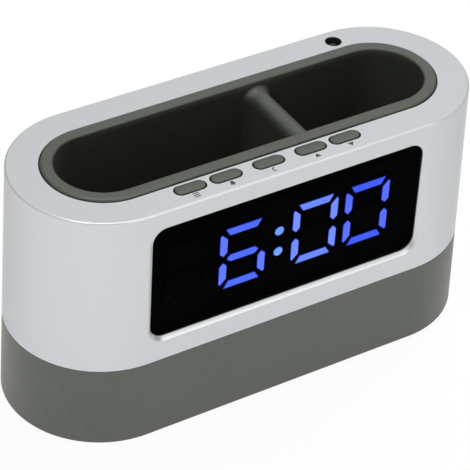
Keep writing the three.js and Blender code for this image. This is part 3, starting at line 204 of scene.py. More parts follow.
def case_sizes(context):
    """The case's lengths, with what follows from them, such as its radius and its ring at a height."""
    case = in_millimetres(context.scene.clock_case)
    case.spine = (case.case_length - case.case_depth) / 2
    case.height = case.case_top - case.case_bottom
    case.tilt = atan2(case.taper, case.height)
    case.radius = lambda z: case.case_depth / 2 - case.taper * (z - case.case_bottom) / case.height
    case.ring = lambda z, less=0: stadium_ring(case.spine, case.radius(z) - less, z)
    return case


def window_sizes(context):
    """The window's lengths, with its middle and lean on the front and its outline at a depth."""
    window = in_millimetres(context.scene.clock_window)
    case = case_sizes(context)
    window.middle = hypot(case.taper, case.height) - window.drop - window.height / 2
    window.lean = tan(case.tilt)

    def ring(grow, depth, lean):
        size = (window.length + 2 * grow, window.height + 2 * grow, window.corner + grow)
        return at_depth(rounded_rectangle(*size), depth, 0, window.middle, lean)

    window.ring = ring
    return window


def key_sizes(context):
    """The buttons' lengths, with a cap's outline at a height, grown on every side."""
    keys = in_millimetres(context.scene.clock_keys)
    keys.ring = lambda grow, z: at_height(pill(keys.length + 2 * grow, keys.width + 2 * grow), z)
    return keys


def panel_matrix(case):
    """From the front panel's frame, with y the depth and z the height along it, to the clock's."""
    place = Matrix.Translation((0, -case.case_depth / 2, case.case_bottom))
    return place @ Matrix.Rotation(-case.tilt, 4, "X")


# Outlines
def stadium_ring(spine, radius, z):
    """Points round a stadium at one height."""
    ring = []
    for side in (1, -1):
        for step in range(ARC_STEPS + 1):
            turn = pi * (step / ARC_STEPS - 0.5)
            ring.append(Vector((side * (spine + radius * cos(turn)), side * radius * sin(turn), z)))
    return ring


def rounded_rectangle(size_x, size_y, corner):
    """Points round a rectangle with rounded corners, as x and y."""
    x = size_x / 2 - corner
    y = size_y / 2 - corner
    points = []
    for number, (side_x, side_y) in enumerate(((1, 1), (-1, 1), (-1, -1), (1, -1))):
        for step in range(CORNER_STEPS + 1):
            turn = pi / 2 * (number + step / CORNER_STEPS)
            points.append((side_x * x + corner * cos(turn), side_y * y + corner * sin(turn)))
    return points


def pill(size_x, size_y):
    """Points round a bar with half-round ends."""
    return rounded_rectangle(size_x, size_y, size_y / 2 * ROUND_END)


def inset(points, distance):
    """A convex outline, drawn in by a distance on every side."""
    middle = sum((Vector(point) for point in points), Vector((0, 0))) / len(points)
    edges = []
    for start, end in zip(points, points[1:] + points[:1]):
        along = (Vector(end) - Vector(start)).normalized()
        inward = Vector((-along.y, along.x))
        if inward.dot(middle - Vector(start)) < 0:
            inward.negate()
        edges.append((Vector(start) + inward * distance, along))
    drawn = []
    for (point, along), (next_point, next_along) in zip(edges[-1:] + edges[:-1], edges):
        gap = next_point - point
        share = gap.cross(next_along) / along.cross(next_along)
        drawn.append(tuple(point + along * share))
    return drawn


def at_height(points, z):
    """Points in plan, lifted to a height."""
    return [Vector((x, y, z)) for x, y in points]


def at_depth(points, depth, x, z, lean):
    """Points on the front panel, behind its face and about a middle; a lean brings the top forward."""
    return [Vector((x + across, depth - lean * up, z + up)) for across, up in points]


def quarter(steps=EDGE_STEPS):
    """Pairs of sine and cosine across a quarter turn."""
    return [(sin(pi / 2 * step / steps), cos(pi / 2 * step / steps)) for step in range(steps + 1)]


def side_to_face(radius, z, across, up):
    """Radii and heights round an edge, from an upright side to a level face."""
    return [(radius - across * (1 - reach), z - up * (1 - rise)) for rise, reach in quarter()]


def face_to_side(radius, z, across, up):
    """Radii and heights round an edge, from a level face to an upright side."""
    return [(radius - across * (1 - rise), z + up * (1 - reach)) for rise, reach in quarter()]


# Meshes, in millimetres until they are finished
def loft(rings):
    """A closed mesh through rings of equal count."""
    mesh = bmesh.new()
    rows = [[mesh.verts.new(point) for point in ring] for ring in rings]
    for lower, upper in zip(rows, rows[1:]):
        for at in range(len(lower)):
            after = (at + 1) % len(lower)
            mesh.faces.new((lower[at], lower[after], upper[after], upper[at]))
    mesh.faces.new(rows[0])
    mesh.faces.new(rows[-1])
    bmesh.ops.recalc_face_normals(mesh, faces=mesh.faces)
    return mesh


def turned(profile):
    """A closed mesh turned about Z from radii and heights, which start and end on the axis."""
    mesh = bmesh.new()
    rows = []
    turns = [2 * pi * step / TURN_STEPS for step in range(TURN_STEPS)]
    for radius, z in profile:
        around = turns if radius else turns[:1]
        rows.append([mesh.verts.new((radius * cos(turn), radius * sin(turn), z)) for turn in around])
    for lower, upper in zip(rows, rows[1:]):
        for at in range(TURN_STEPS):
            after = (at + 1) % TURN_STEPS
            corners = [lower[at % len(lower)], lower[after % len(lower)]]
            corners += [upper[after % len(upper)], upper[at % len(upper)]]
            corners = list(dict.fromkeys(corners))
            if len(corners) > 2:
                mesh.faces.new(corners)
    bmesh.ops.recalc_face_normals(mesh, faces=mesh.faces)
    return mesh


def drum(radius, low, high):
    """A closed round mesh between two heights."""
    return turned([(0, low), (radius, low), (radius, high), (0, high)])


def prism(outline, low, high):
    """A closed mesh of an outline between two heights."""
    return loft([at_height(outline, low), at_height(outline, high)])


def block(low, high):
    """A closed box between two corners."""
    outline = [(low[0], low[1]), (high[0], low[1]), (high[0], high[1]), (low[0], high[1])]
    return prism(outline, low[2], high[2])


def middle_block(half_x, half_y, low, high):
    """A closed box about the middle of the clock, between two heights."""
    return block((-half_x, -half_y, low), (half_x, half_y, high))


def moved(mesh, matrix):
    """The same mesh, moved by a matrix."""
    mesh.transform(matrix)
    return mesh


def over(mesh, x, y):
    """The same mesh, moved to a place in plan."""
    return moved(mesh, Matrix.Translation((x, y, 0)))


def backwards(mesh, x, y, z):
    """The same mesh, with its Z turned to face the back, at a place."""
    return moved(mesh, Matrix.Translation((x, y, z)) @ Matrix.Rotation(-pi / 2, 4, "X"))


def together(meshes):
    """Several meshes in one."""
    whole = bmesh.new()
    for mesh in meshes:
        part = bpy.data.meshes.new("part")
        mesh.to_mesh(part)
        whole.from_mesh(part)
        mesh.free()
        bpy.data.meshes.remove(part)
    return whole


def new_object(name, mesh):
    """A scene object from a mesh, which is used up."""
    data = bpy.data.meshes.new(name)
    mesh.to_mesh(data)
    mesh.free()
    made = bpy.data.objects.new(name, data)
    bpy.context.scene.collection.objects.link(made)
    return made


def apply_modifiers(target):
    """Bakes an object's modifiers into its mesh."""
    bpy.context.view_layer.update()
    depsgraph = bpy.context.evaluated_depsgraph_get()
    baked = bpy.data.meshes.new_from_object(target.evaluated_get(depsgraph), depsgraph=depsgraph)
    old = target.data
    target.modifiers.clear()
    target.data = baked
    bpy.data.meshes.remove(old)
    baked.name = target.name


def combine(target, operation, mesh, finish=None):
    """Joins a closed mesh to an object, or cuts it away; new faces may get a finish of their own."""
    other = new_object("other", mesh)
    modifier = target.modifiers.new("Combine", "BOOLEAN")
    modifier.operation = operation
    modifier.solver = "EXACT"
    modifier.object = other
    if finish:
        other.data.materials.append(finish)
        modifier.material_mode = "TRANSFER"
    apply_modifiers(target)
    bpy.data.objects.remove(other)
    if not target.data.polygons:
        raise RuntimeError(f"nothing is left of {target.name} after a cut")


def finish_piece(target, body, slot, nodes, *materials):
    """Scales a piece to metres, smooths it, gives it its finish and sets it on its body."""
    target.data.transform(Matrix.Scale(MM, 4))
    target.data.polygons.foreach_set("use_smooth", [True] * len(target.data.polygons))
    target.data.set_sharp_from_angle(angle=SHARP_ANGLE)
    even = target.modifiers.new("Even shading", "WEIGHTED_NORMAL")
    even.keep_sharp = True
    apply_modifiers(target)
    for material in materials:
        if material.name not in target.data.materials:
            target.data.materials.append(material)
    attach(target, body)
    if nodes:
        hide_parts(*nodes)


def add_piece(name, mesh, body, slot, nodes, *materials):
    """A finished piece from a mesh."""
    finish_piece(new_object(name, mesh), body, slot, nodes, *materials)


# Shader nodes
def set_inputs(node, **values):
    """Sets inputs by name; underscores stand for spaces."""
    for label, value in values.items():
        node.inputs[label.replace("_", " ")].default_value = value


def add_node(tree, kind, operation=None, **values):
    """A shader node with its operation and its inputs."""
    node = tree.nodes.new(f"ShaderNode{kind}")
    if operation:
        node.operation = operation
    set_inputs(node, **values)
    return node


def add_group(tree, group, **values):
    """A node group, placed with its own inputs."""
    node = tree.nodes.new("ShaderNodeGroup")
    node.node_tree = group
    set_inputs(node, **values)
    return node


def wire(tree, start, output, end, entry):
    """Links an output of one node to an input of another."""
    tree.links.new(start.outputs[output], end.inputs[entry])


# Surface effects that finishes share
def socket_kind(label):
    """Sockets named Colour carry a colour, all others a value."""
    return "NodeSocketColor" if label == "Colour" else "NodeSocketFloat"


def new_group(name, inputs, outputs):
    """An empty shader node group with named sockets; returns it with its two ends."""
    group = bpy.data.node_groups.new(name, "ShaderNodeTree")
    for label, default in inputs.items():
        socket = group.interface.new_socket(label, in_out="INPUT", socket_type=socket_kind(label))
        socket.default_value = default
    for label in outputs:
        group.interface.new_socket(label, in_out="OUTPUT", socket_type=socket_kind(label))
    return group, group.nodes.new("NodeGroupInput"), group.nodes.new("NodeGroupOutput")


def grain_group():
    """Fine moulded grain: a height for bump and a mask that evens out over a few grains."""
    found = bpy.data.node_groups.get("Moulded Grain")
    if found:
        return found
    group, entry, leave = new_group("Moulded Grain", {"Scale": 2600.0, "Softness": 0.5}, ("Height", "Mask"))
    place = add_node(group, "TexCoord")
    grains = add_node(group, "TexNoise", Detail=3.0)
    patches = add_node(group, "TexNoise", Scale=55.0, Detail=4.0)
    join = add_node(group, "Mix")
    wire(group, place, "Object", grains, "Vector")
    wire(group, place, "Object", patches, "Vector")
    wire(group, entry, "Scale", grains, "Scale")
    wire(group, entry, "Softness", join, "Factor")
    wire(group, grains, "Fac", join, "A")
    wire(group, patches, "Fac", join, "B")
    wire(group, grains, "Fac", leave, "Height")
    wire(group, join, "Result", leave, "Mask")
    return group


def drift_group():
    """Slow drift of a colour between a little darker and a little lighter."""
    found = bpy.data.node_groups.get("Colour Drift")
    if found:
        return found
    inputs = {"Colour": (0.5, 0.5, 0.5, 1.0), "Scale": 30.0, "Amount": 0.05}
    group, entry, leave = new_group("Colour Drift", inputs, ("Colour",))
    place = add_node(group, "TexCoord")
    clouds = add_node(group, "TexNoise", Detail=2.0)
    centre = add_node(group, "Math", "SUBTRACT")
    centre.inputs[1].default_value = 0.5
    spread = add_node(group, "Math", "MULTIPLY_ADD")
    spread.inputs[2].default_value = 1.0
    shade = add_node(group, "VectorMath", "SCALE")
    wire(group, place, "Object", clouds, "Vector")
    wire(group, entry, "Scale", clouds, "Scale")
    wire(group, clouds, "Fac", centre, 0)
    wire(group, centre, 0, spread, 0)
    wire(group, entry, "Amount", spread, 1)
    wire(group, entry, "Colour", shade, 0)
    wire(group, spread, 0, shade, "Scale")
    wire(group, shade, 0, leave, "Colour")
    return group


def flake_group():
    """Tiny flakes of a metallic paint: a random value for each flake."""
    found = bpy.data.node_groups.get("Paint Flake")
    if found:
        return found
    group, entry, leave = new_group("Paint Flake", {"Scale": 5200.0, "Low": 0.0, "High": 1.0}, ("Flake",))
    place = add_node(group, "TexCoord")
    cells = add_node(group, "TexVoronoi")
    split = add_node(group, "SeparateColor")
    spread = add_node(group, "MapRange")
    wire(group, place, "Object", cells, "Vector")
    wire(group, entry, "Scale", cells, "Scale")
    wire(group, cells, "Color", split, "Color")
    wire(group, split, "Red", spread, "Value")
    wire(group, entry, "Low", spread, "To Min")
    wire(group, entry, "High", spread, "To Max")
    wire(group, spread, "Result", leave, "Flake")
    return group


def tint(tree, node, base, scale, amount, socket="Base Color"):
    """Feeds a colour through the slow drift to a socket of a node."""
    drift = add_group(tree, drift_group(), Colour=(*base, 1.0), Scale=scale, Amount=amount)
    wire(tree, drift, "Colour", node, socket)


def roughen(tree, shader, rough, grain, height):
    """Feeds roughness and bump from the moulded grain; the height is in millimetres."""
    grains = add_group(tree, grain_group(), Scale=grain)
    spread = add_node(tree, "MapRange", From_Min=0.3, From_Max=0.7, To_Min=rough[0], To_Max=rough[1])
    bump = add_node(tree, "Bump", Distance=height * MM, Strength=1.0)
    wire(tree, grains, "Mask", spread, "Value")
    wire(tree, spread, "Result", shader, "Roughness")
    wire(tree, grains, "Height", bump, "Height")
    wire(tree, bump, "Normal", shader, "Normal")


# Finishes
def new_material(name):
    """A node material, with its nodes and its shader."""
    material = bpy.data.materials.new(name)
    material.use_nodes = True
    return material, material.node_tree, material.node_tree.nodes["Principled BSDF"]


def plain_finish(name, base, rough, grain, height, metallic=0.0, drift=(40.0, 0.08)):
    """A moulded or plated finish, made once: drifting colour, uneven gloss and fine grain."""
    found = bpy.data.materials.get(name)
    if found:
        return found
    material, tree, shader = new_material(name)
    set_inputs(shader, Metallic=metallic)
    tint(tree, shader, base, *drift)
    roughen(tree, shader, rough, grain, height)
    return material


def silver_paint(context):
    """Satin silver paint with fine flake under a thin clear coat."""
    found = bpy.data.materials.get("silver_paint")
    if found:
        return found
    material, tree, shader = new_material("silver_paint")
    set_inputs(shader, Metallic=0.45, Specular_Tint=(0.6, 0.6, 0.62, 1.0))
    set_inputs(shader, Coat_Weight=0.05, Coat_Roughness=0.25)
    flake = add_group(tree, flake_group(), Low=-0.5, High=0.5)
    sparkle = add_node(tree, "Mix", Factor=0.03)
    sparkle.data_type = "RGBA"
    sparkle.blend_type = "SOFT_LIGHT"
    tint(tree, sparkle, context.scene.clock_colours.silver, 18.0, 0.03, "A")
    wire(tree, flake, "Flake", sparkle, "B")
    wire(tree, sparkle, "Result", shader, "Base Color")
    roughen(tree, shader, (0.28, 0.31), 3200.0, 0.001)
    return material


def grey_plastic(context):
    """Grey moulded plastic with a fine spark-eroded texture."""
    grey = context.scene.clock_colours.grey
    return plain_finish("grey_plastic", grey, (0.32, 0.48), 2200.0, 0.018, drift=(600.0, 0.32))


def window_plastic(context):
    """Polished smoked plastic, dark all through."""
    found = bpy.data.materials.get("window_plastic")
    if found:
        return found
    material, tree, shader = new_material("window_plastic")
    set_inputs(shader, IOR=1.04, Transmission_Weight=1.0)
    tint(tree, shader, context.scene.clock_colours.window, 12.0, 0.05)
    grain = add_group(tree, grain_group(), Scale=400.0, Softness=0.8)
    spread = add_node(tree, "MapRange", To_Min=0.0, To_Max=0.03)
    wire(tree, grain, "Mask", spread, "Value")
    wire(tree, spread, "Result", shader, "Roughness")
    return material


def lit_plastic(name, light, strength):
    """Milky light guide, lit from behind."""
    found = bpy.data.materials.get(name)
    if found:
        return found
    material, tree, shader = new_material(name)
    set_inputs(shader, Emission_Strength=strength)
    tint(tree, shader, (0.02, 0.02, 0.03), 60.0, 0.1)
    tint(tree, shader, light, 160.0, 0.25, "Emission Color")
    roughen(tree, shader, (0.3, 0.45), 900.0, 0.004)
    return material


def dark_guide():
    """Light guide that isn't lit."""
    return plain_finish("dark_guide", (0.004, 0.004, 0.005), (0.3, 0.45), 900.0, 0.004)


def black_plastic():
    """Black moulded plastic."""
    return plain_finish("black_plastic", (0.008, 0.008, 0.009), (0.4, 0.6), 1800.0, 0.015)


def bare_plastic_gap_shade():
    """Bare plastic inside the painted shell and on the walls of its openings, made dark to paint shade into
    the gaps round the lip, buttons and sensor.
    """
    return plain_finish("bare_plastic_gap_shade", (0.022, 0.022, 0.021), (0.5, 0.65), 2000.0, 0.015)


def sensor_resin():
    """Dark resin of the light sensor."""
    return plain_finish("sensor_resin", (0.006, 0.005, 0.007), (0.4, 0.5), 500.0, 0.002)


def board_mask():
    """Green coat of the circuit boards."""
    return plain_finish("board_mask", (0.02, 0.12, 0.035), (0.3, 0.45), 700.0, 0.01, drift=(40.0, 0.35))


def screw_steel():
    """Plated steel of the screws."""
    return plain_finish("screw_steel", (0.5, 0.5, 0.51), (0.25, 0.42), 1500.0, 0.006, metallic=1.0)


def contact_nickel():
    """Nickel plate of the contacts, the inlet's pin and the cells' caps."""
    return plain_finish("contact_nickel", (0.66, 0.63, 0.57), (0.18, 0.34), 1300.0, 0.005, metallic=1.0)


def foot_rubber():
    """Black rubber of the feet."""
    return plain_finish("foot_rubber", (0.014, 0.014, 0.014), (0.75, 0.95), 1400.0, 0.03)


def lead_sleeve():
    """Red sleeve of the battery lead."""
    return plain_finish("lead_sleeve", (0.26, 0.02, 0.016), (0.4, 0.55), 1600.0, 0.01)


def flat_cable():
    """Pale grey of the key ribbon."""
    return plain_finish("flat_cable", (0.45, 0.46, 0.44), (0.4, 0.5), 900.0, 0.02)


def cell_sleeve():
    """Plain blue sleeve of the cells."""
    return plain_finish("cell_sleeve", (0.06, 0.13, 0.24), (0.22, 0.34), 800.0, 0.004, metallic=0.4)


def mark_ink(context):
    """Ink of the marks beside the buttons."""
    return plain_finish("mark_ink", context.scene.clock_colours.mark, (0.45, 0.6), 2500.0, 0.004)


# Pieces
class CLOCK_OT_upper_shell(Operator):
    """Build the silver upper shell with its window, cup, button and sensor openings"""

    bl_idname = "clock.upper_shell"
    bl_label = "Upper Shell"

    SENSOR_HOLE = 2.65  # radius, in millimetres
    ROLL = 0.55  # where the window's sloping edge rolls over, as a share of its width
    SINK = 0.28  # how deep the edge is there, as a share of its depth

    def execute(self, context):
        case = case_sizes(context)
        paint = silver_paint(context)
        shell = new_object("upper_shell_body", loft(self.outside(case)))
        shell.data.materials.append(paint)
        openings = (
            loft([case.ring(case.seam - CUT, case.wall), case.ring(case.case_top - case.wall, case.wall)]),
            self.cup_opening(context, case),
            self.key_holes(context, case),
            self.sensor_hole(case),
        )
        # The walls of these openings take the dark bare plastic, which paints shade into the gaps round the
        # lip, buttons and sensor
        for cutter in openings:
            combine(shell, "DIFFERENCE", cutter, bare_plastic_gap_shade())
        combine(shell, "DIFFERENCE", self.window_opening(context, case), paint)
        finish_piece(shell, CASE, "silver", ["upper_shell"], paint)
        return {"FINISHED"}

    def outside(self, case):
        """Rings from the seam up to the rounded edge of the top face."""
        edge = case.top_edge
        rings = [case.ring(case.seam, case.fine_edge), case.ring(case.seam + case.fine_edge)]
        for radius, z in side_to_face(case.radius(case.case_top - edge), case.case_top, edge, edge):
            rings.append(stadium_ring(case.spine, radius, z))
        return rings

    def cup_opening(self, context, case):
        """Stepped hole that takes the cup and its lip."""
        cup = in_millimetres(context.scene.clock_cup)
        top = case.case_top
        outer = cup.lip_radius + cup.lip_gap
        inner = cup.lip_radius - cup.lip_width + cup.wall + cup.lip_gap
        levels = (
            (inner, top - case.wall - CUT),
            (inner, top - cup.lip_seat),
            (outer, top - cup.lip_seat),
            (outer, top - case.fine_edge),
            (outer + case.fine_edge + CUT, top + CUT),
        )
        return loft([stadium_ring(cup.spine, radius, z) for radius, z in levels])

    def key_holes(self, context, case):
        """A hole for each button, with a broken edge."""
        keys = key_sizes(context)
        top = case.case_top
        levels = (
            (keys.gap, top - case.wall - CUT),
            (keys.gap, top - case.fine_edge),
            (keys.gap + case.fine_edge + CUT, top + CUT),
        )
        holes = []
        for key in KEYS:
            middle = cad_box(f"{key}_button").middle
            holes.append(over(loft([keys.ring(*level) for level in levels]), middle.x, middle.y))
        return together(holes)

    def sensor_hole(self, case):
        """Round hole for the sensor, with a broken edge."""
        sensor = cad_box("light_sensor")
        radius = self.SENSOR_HOLE
        top = case.case_top
        hole = turned([
            (0, sensor.low.z),
            (radius, sensor.low.z),
            (radius, top - case.fine_edge),
            (radius + case.fine_edge + CUT, top + CUT),
            (0, top + CUT),
        ])
        return over(hole, sensor.middle.x, sensor.middle.y)

    def window_opening(self, context, case):
        """Hole for the window, with its sloping edge."""
        window = window_sizes(context)
        width = window.bezel_width
        depth = window.bezel_depth
        levels = (
            (0, case.wall + 3 * CUT, 0),
            (0, depth, window.lean),
            (self.ROLL * width, self.SINK * depth, self.SINK * window.lean),
            (width, 0, 0),
            (width, -CUT, 0),
        )
        return moved(loft([window.ring(*level) for level in levels]), panel_matrix(case))


class CLOCK_OT_base_shell(Operator):
    """Build the grey base shell with its battery bay, screw holes, foot recesses and inlet hole"""

    bl_idname = "clock.base_shell"
    bl_label = "Base Shell"

    # Sizes under the case, in millimetres
    LEDGE = 1.5  # under the edge of the battery door
    DOOR_FIT = 0.25
    BAY_WALL = 3.2
    BAY_ROOF = 1.4
    CELL_ROOM = 0.6  # between the cells and the roof
    TAB_SLOT_HALF = 4.25
    TAB_SLOT_REACH = 2.05
    TAB_SLOT_LOW = 0.8
    TAB_SLOT_HIGH = 4.0
    TOWER_RADIUS = 4.3
    TOWER_ROOF = 3
    HEAD_HEIGHT = 1.95  # of a screw
    HEAD_HOLE = 3.3
    SHANK_HOLE = 1.75
    FOOT_FIT = 0.2
    FOOT_RECESS = 0.8
    SOUND_SLOT = (11, 1.4)
    SOUND_PLACES = (-6, -3, 0, 3, 6)
    INLET_HOLE = 4.1
    INLET_START = 5  # behind the front of the inlet
    INLET_REACH = 20

    def execute(self, context):
        case = case_sizes(context)
        base = new_object("base_shell_body", loft(self.outside(case)))
        floor = case.case_bottom + case.wall
        hollow = loft([case.ring(floor, case.wall), case.ring(case.seam + CUT, case.wall)])
        combine(base, "DIFFERENCE", hollow)
        self.add_bay(base, case)
        self.add_screw_towers(base, case)
        self.cut_details(base, case)
        finish_piece(base, CASE, "grey", ["base_shell"], grey_plastic(context))
        return {"FINISHED"}

    def outside(self, case):
        """Rings from the rounded foot up to the seam."""
        edge = case.foot_edge
        bottom = case.case_bottom
        levels = face_to_side(case.radius(bottom), bottom, edge, edge)
        rings = [stadium_ring(case.spine, radius, z) for radius, z in levels]
        top = case.seam - case.seam_gap
        return rings + [case.ring(top - case.fine_edge), case.ring(top, case.fine_edge)]

    def add_bay(self, base, case):
        """A box round the cells, open below, with a ledge and two tab slots for the door."""
        door = cad_box("battery_door")
        half_x = (door.high.x - door.low.x) / 2 - self.LEDGE
        half_y = door.high.y - self.LEDGE
        rebate = self.LEDGE + self.DOOR_FIT
        bottom = case.case_bottom
        ceiling = cad_box("battery_cell_3").high.z + self.CELL_ROOM
        wall = self.BAY_WALL
        box = middle_block(half_x + wall, half_y + wall, bottom + SUNK, ceiling + self.BAY_ROOF)
        combine(base, "UNION", box)
        combine(base, "DIFFERENCE", middle_block(half_x, half_y, bottom - CUT, ceiling))
        step = middle_block(half_x + rebate, half_y + rebate, bottom - CUT, bottom + case.wall)
        combine(base, "DIFFERENCE", step)
        slots = []
        front = -half_y - rebate - self.TAB_SLOT_REACH
        for x in TAB_PLACES:
            slots.append(block(
                (x - self.TAB_SLOT_HALF, front, bottom + self.TAB_SLOT_LOW),
                (x + self.TAB_SLOT_HALF, -half_y + CUT, bottom + self.TAB_SLOT_HIGH),
            ))
        combine(base, "DIFFERENCE", together(slots))

    def add_screw_towers(self, base, case):
        """Towers inside the base, each with a stepped hole for a screw."""
        bottom = case.case_bottom
        head = self.HEAD_HOLE
        shank = self.SHANK_HOLE
        towers = []
        holes = []
        names = [f"case_screw_{corner}" for corner in CORNERS] + ["cup_screw_left", "cup_screw_right"]
        for name in names:
            screw = cad_box(name)
            seat = screw.low.z + self.HEAD_HEIGHT
            top = seat + self.TOWER_ROOF
            tower = drum(self.TOWER_RADIUS, bottom + SUNK, top)
            towers.append(over(tower, screw.middle.x, screw.middle.y))
            hole = turned([
                (0, bottom - CUT),
                (head + CUT + case.fine_edge, bottom - CUT),
                (head, bottom + case.fine_edge),
                (head, seat),
                (shank, seat),
                (shank, top + CUT),
                (0, top + CUT),
            ])
            holes.append(over(hole, screw.middle.x, screw.middle.y))
        combine(base, "UNION", together(towers))
        combine(base, "DIFFERENCE", together(holes))

    def cut_details(self, base, case):
        """Recesses for the feet, sound slots under the buzzer and the hole for the inlet."""
        bottom = case.case_bottom
        cuts = []
        for corner in CORNERS:
            low, high, middle = cad_box(f"foot_{corner}")
            radius = (high.x - low.x) / 2 + self.FOOT_FIT
            cuts.append(over(drum(radius, bottom - CUT, bottom + self.FOOT_RECESS), middle.x, middle.y))
        buzzer = cad_box("buzzer").middle
        for x in self.SOUND_PLACES:
            slot = prism(pill(*self.SOUND_SLOT), bottom - CUT, bottom + case.wall + CUT)
            turned_slot = moved(slot, Matrix.Rotation(pi / 2, 4, "Z"))
            cuts.append(over(turned_slot, buzzer.x + x, buzzer.y))
        inlet = cad_box("power_jack")
        hole = drum(self.INLET_HOLE, 0, self.INLET_REACH)
        cuts.append(backwards(hole, inlet.middle.x, inlet.low.y + self.INLET_START, inlet.middle.z))
        combine(base, "DIFFERENCE", together(cuts))


class CLOCK_OT_pen_cup(Operator):
    """Build the pen cup with its rounded lip and its flared divider"""

    bl_idname = "clock.pen_cup"
    bl_label = "Pen Cup"

    LIP_CLEAR = 0.05  # gap under the lip, in millimetres
    ROOT = 0.5  # how far the divider runs into the floor and the walls, in millimetres
    FLARE_SUNK = 0.13  # share of the divider's flare that lies inside the walls
    FLARE_RISE = 0.5  # how far the flare lifts the divider's top, as a share of its width

    def execute(self, context):
        case = case_sizes(context)
        cup = in_millimetres(context.scene.clock_cup)
        cup.top = case.case_top + cup.lip_proud
        cup.inside = cup.bottom + cup.floor
        cup.mouth = cup.lip_radius - cup.lip_width
        cup.radius = lambda z: cup.mouth - cup.taper * (cup.top - z) / (cup.top - cup.inside)
        body = together([loft(self.shell_rings(case, cup)), self.divider(cup)])
        add_piece("pen_cup_body", body, CASE, "grey", ["pen_cup"], grey_plastic(context))
        return {"FINISHED"}

    def shell_rings(self, case, cup):
        """Rings up the outside of the cup, over the lip and down the inside."""
        foot = case.case_top - cup.lip_seat + self.LIP_CLEAR
        levels = [
            (cup.radius(cup.bottom) + cup.wall, cup.bottom),
            (cup.radius(foot) + cup.wall, foot),
            (cup.lip_radius, foot),
        ]
        curve = cup.floor_round
        levels += side_to_face(cup.lip_radius, cup.top, cup.lip_round, cup.lip_round)
        levels += face_to_side(cup.mouth, cup.top, -cup.mouth_round, -cup.mouth_round)
        levels += side_to_face(cup.radius(cup.inside + curve), cup.inside, curve, -curve)
        return [stadium_ring(cup.spine, radius, z) for radius, z in levels]

    def divider(self, cup):
        """A wall across the cup with a round top, which flares where it meets the cup's walls."""
        half = cup.divider_width / 2
        crest = cup.top - cup.divider_drop - half
        fillet = cup.divider_fillet
        sunk = self.FLARE_SUNK * fillet
        stations = [(-self.ROOT - sunk, fillet)]
        for rise, reach in quarter():
            stations.append((fillet * (1 - reach) - sunk, fillet * (1 - rise)))
        outline = []
        for step in range(2 * CORNER_STEPS + 1):
            turn = pi * step / (2 * CORNER_STEPS)
            outline.append((cos(turn), crest, sin(turn)))
        for side in (-1, 1):
            outline.append((side, cup.inside - self.ROOT, 0))
        rings = []
        for side in (-1, 1):
            for near, flare in stations if side < 0 else reversed(stations):
                ring = []
                for across, level, up in outline:
                    x = cup.divider_x + across * (half + flare)
                    z = level + up * (half + self.FLARE_RISE * flare)
                    ring.append(Vector((x, side * (cup.radius(level) - near), z)))
                rings.append(ring)
        return loft(rings)


class CLOCK_OT_window(Operator):
    """Build the smoked window"""

    bl_idname = "clock.window"
    bl_label = "Window"

    def execute(self, context):
        window = window_sizes(context)
        edge = window.lens_edge
        front = window.bezel_depth
        back = window.lens_back
        levels = ((-edge, front), (0, front + edge), (0, back - edge), (-edge, back))
        rings = [window.ring(grow - window.lens_fit, depth, window.lean) for grow, depth in levels]
        pane = moved(loft(rings), panel_matrix(case_sizes(context)))
        add_piece("window_pane", pane, CASE, "smoked", ["display_lens"], window_plastic(context))
        return {"FINISHED"}


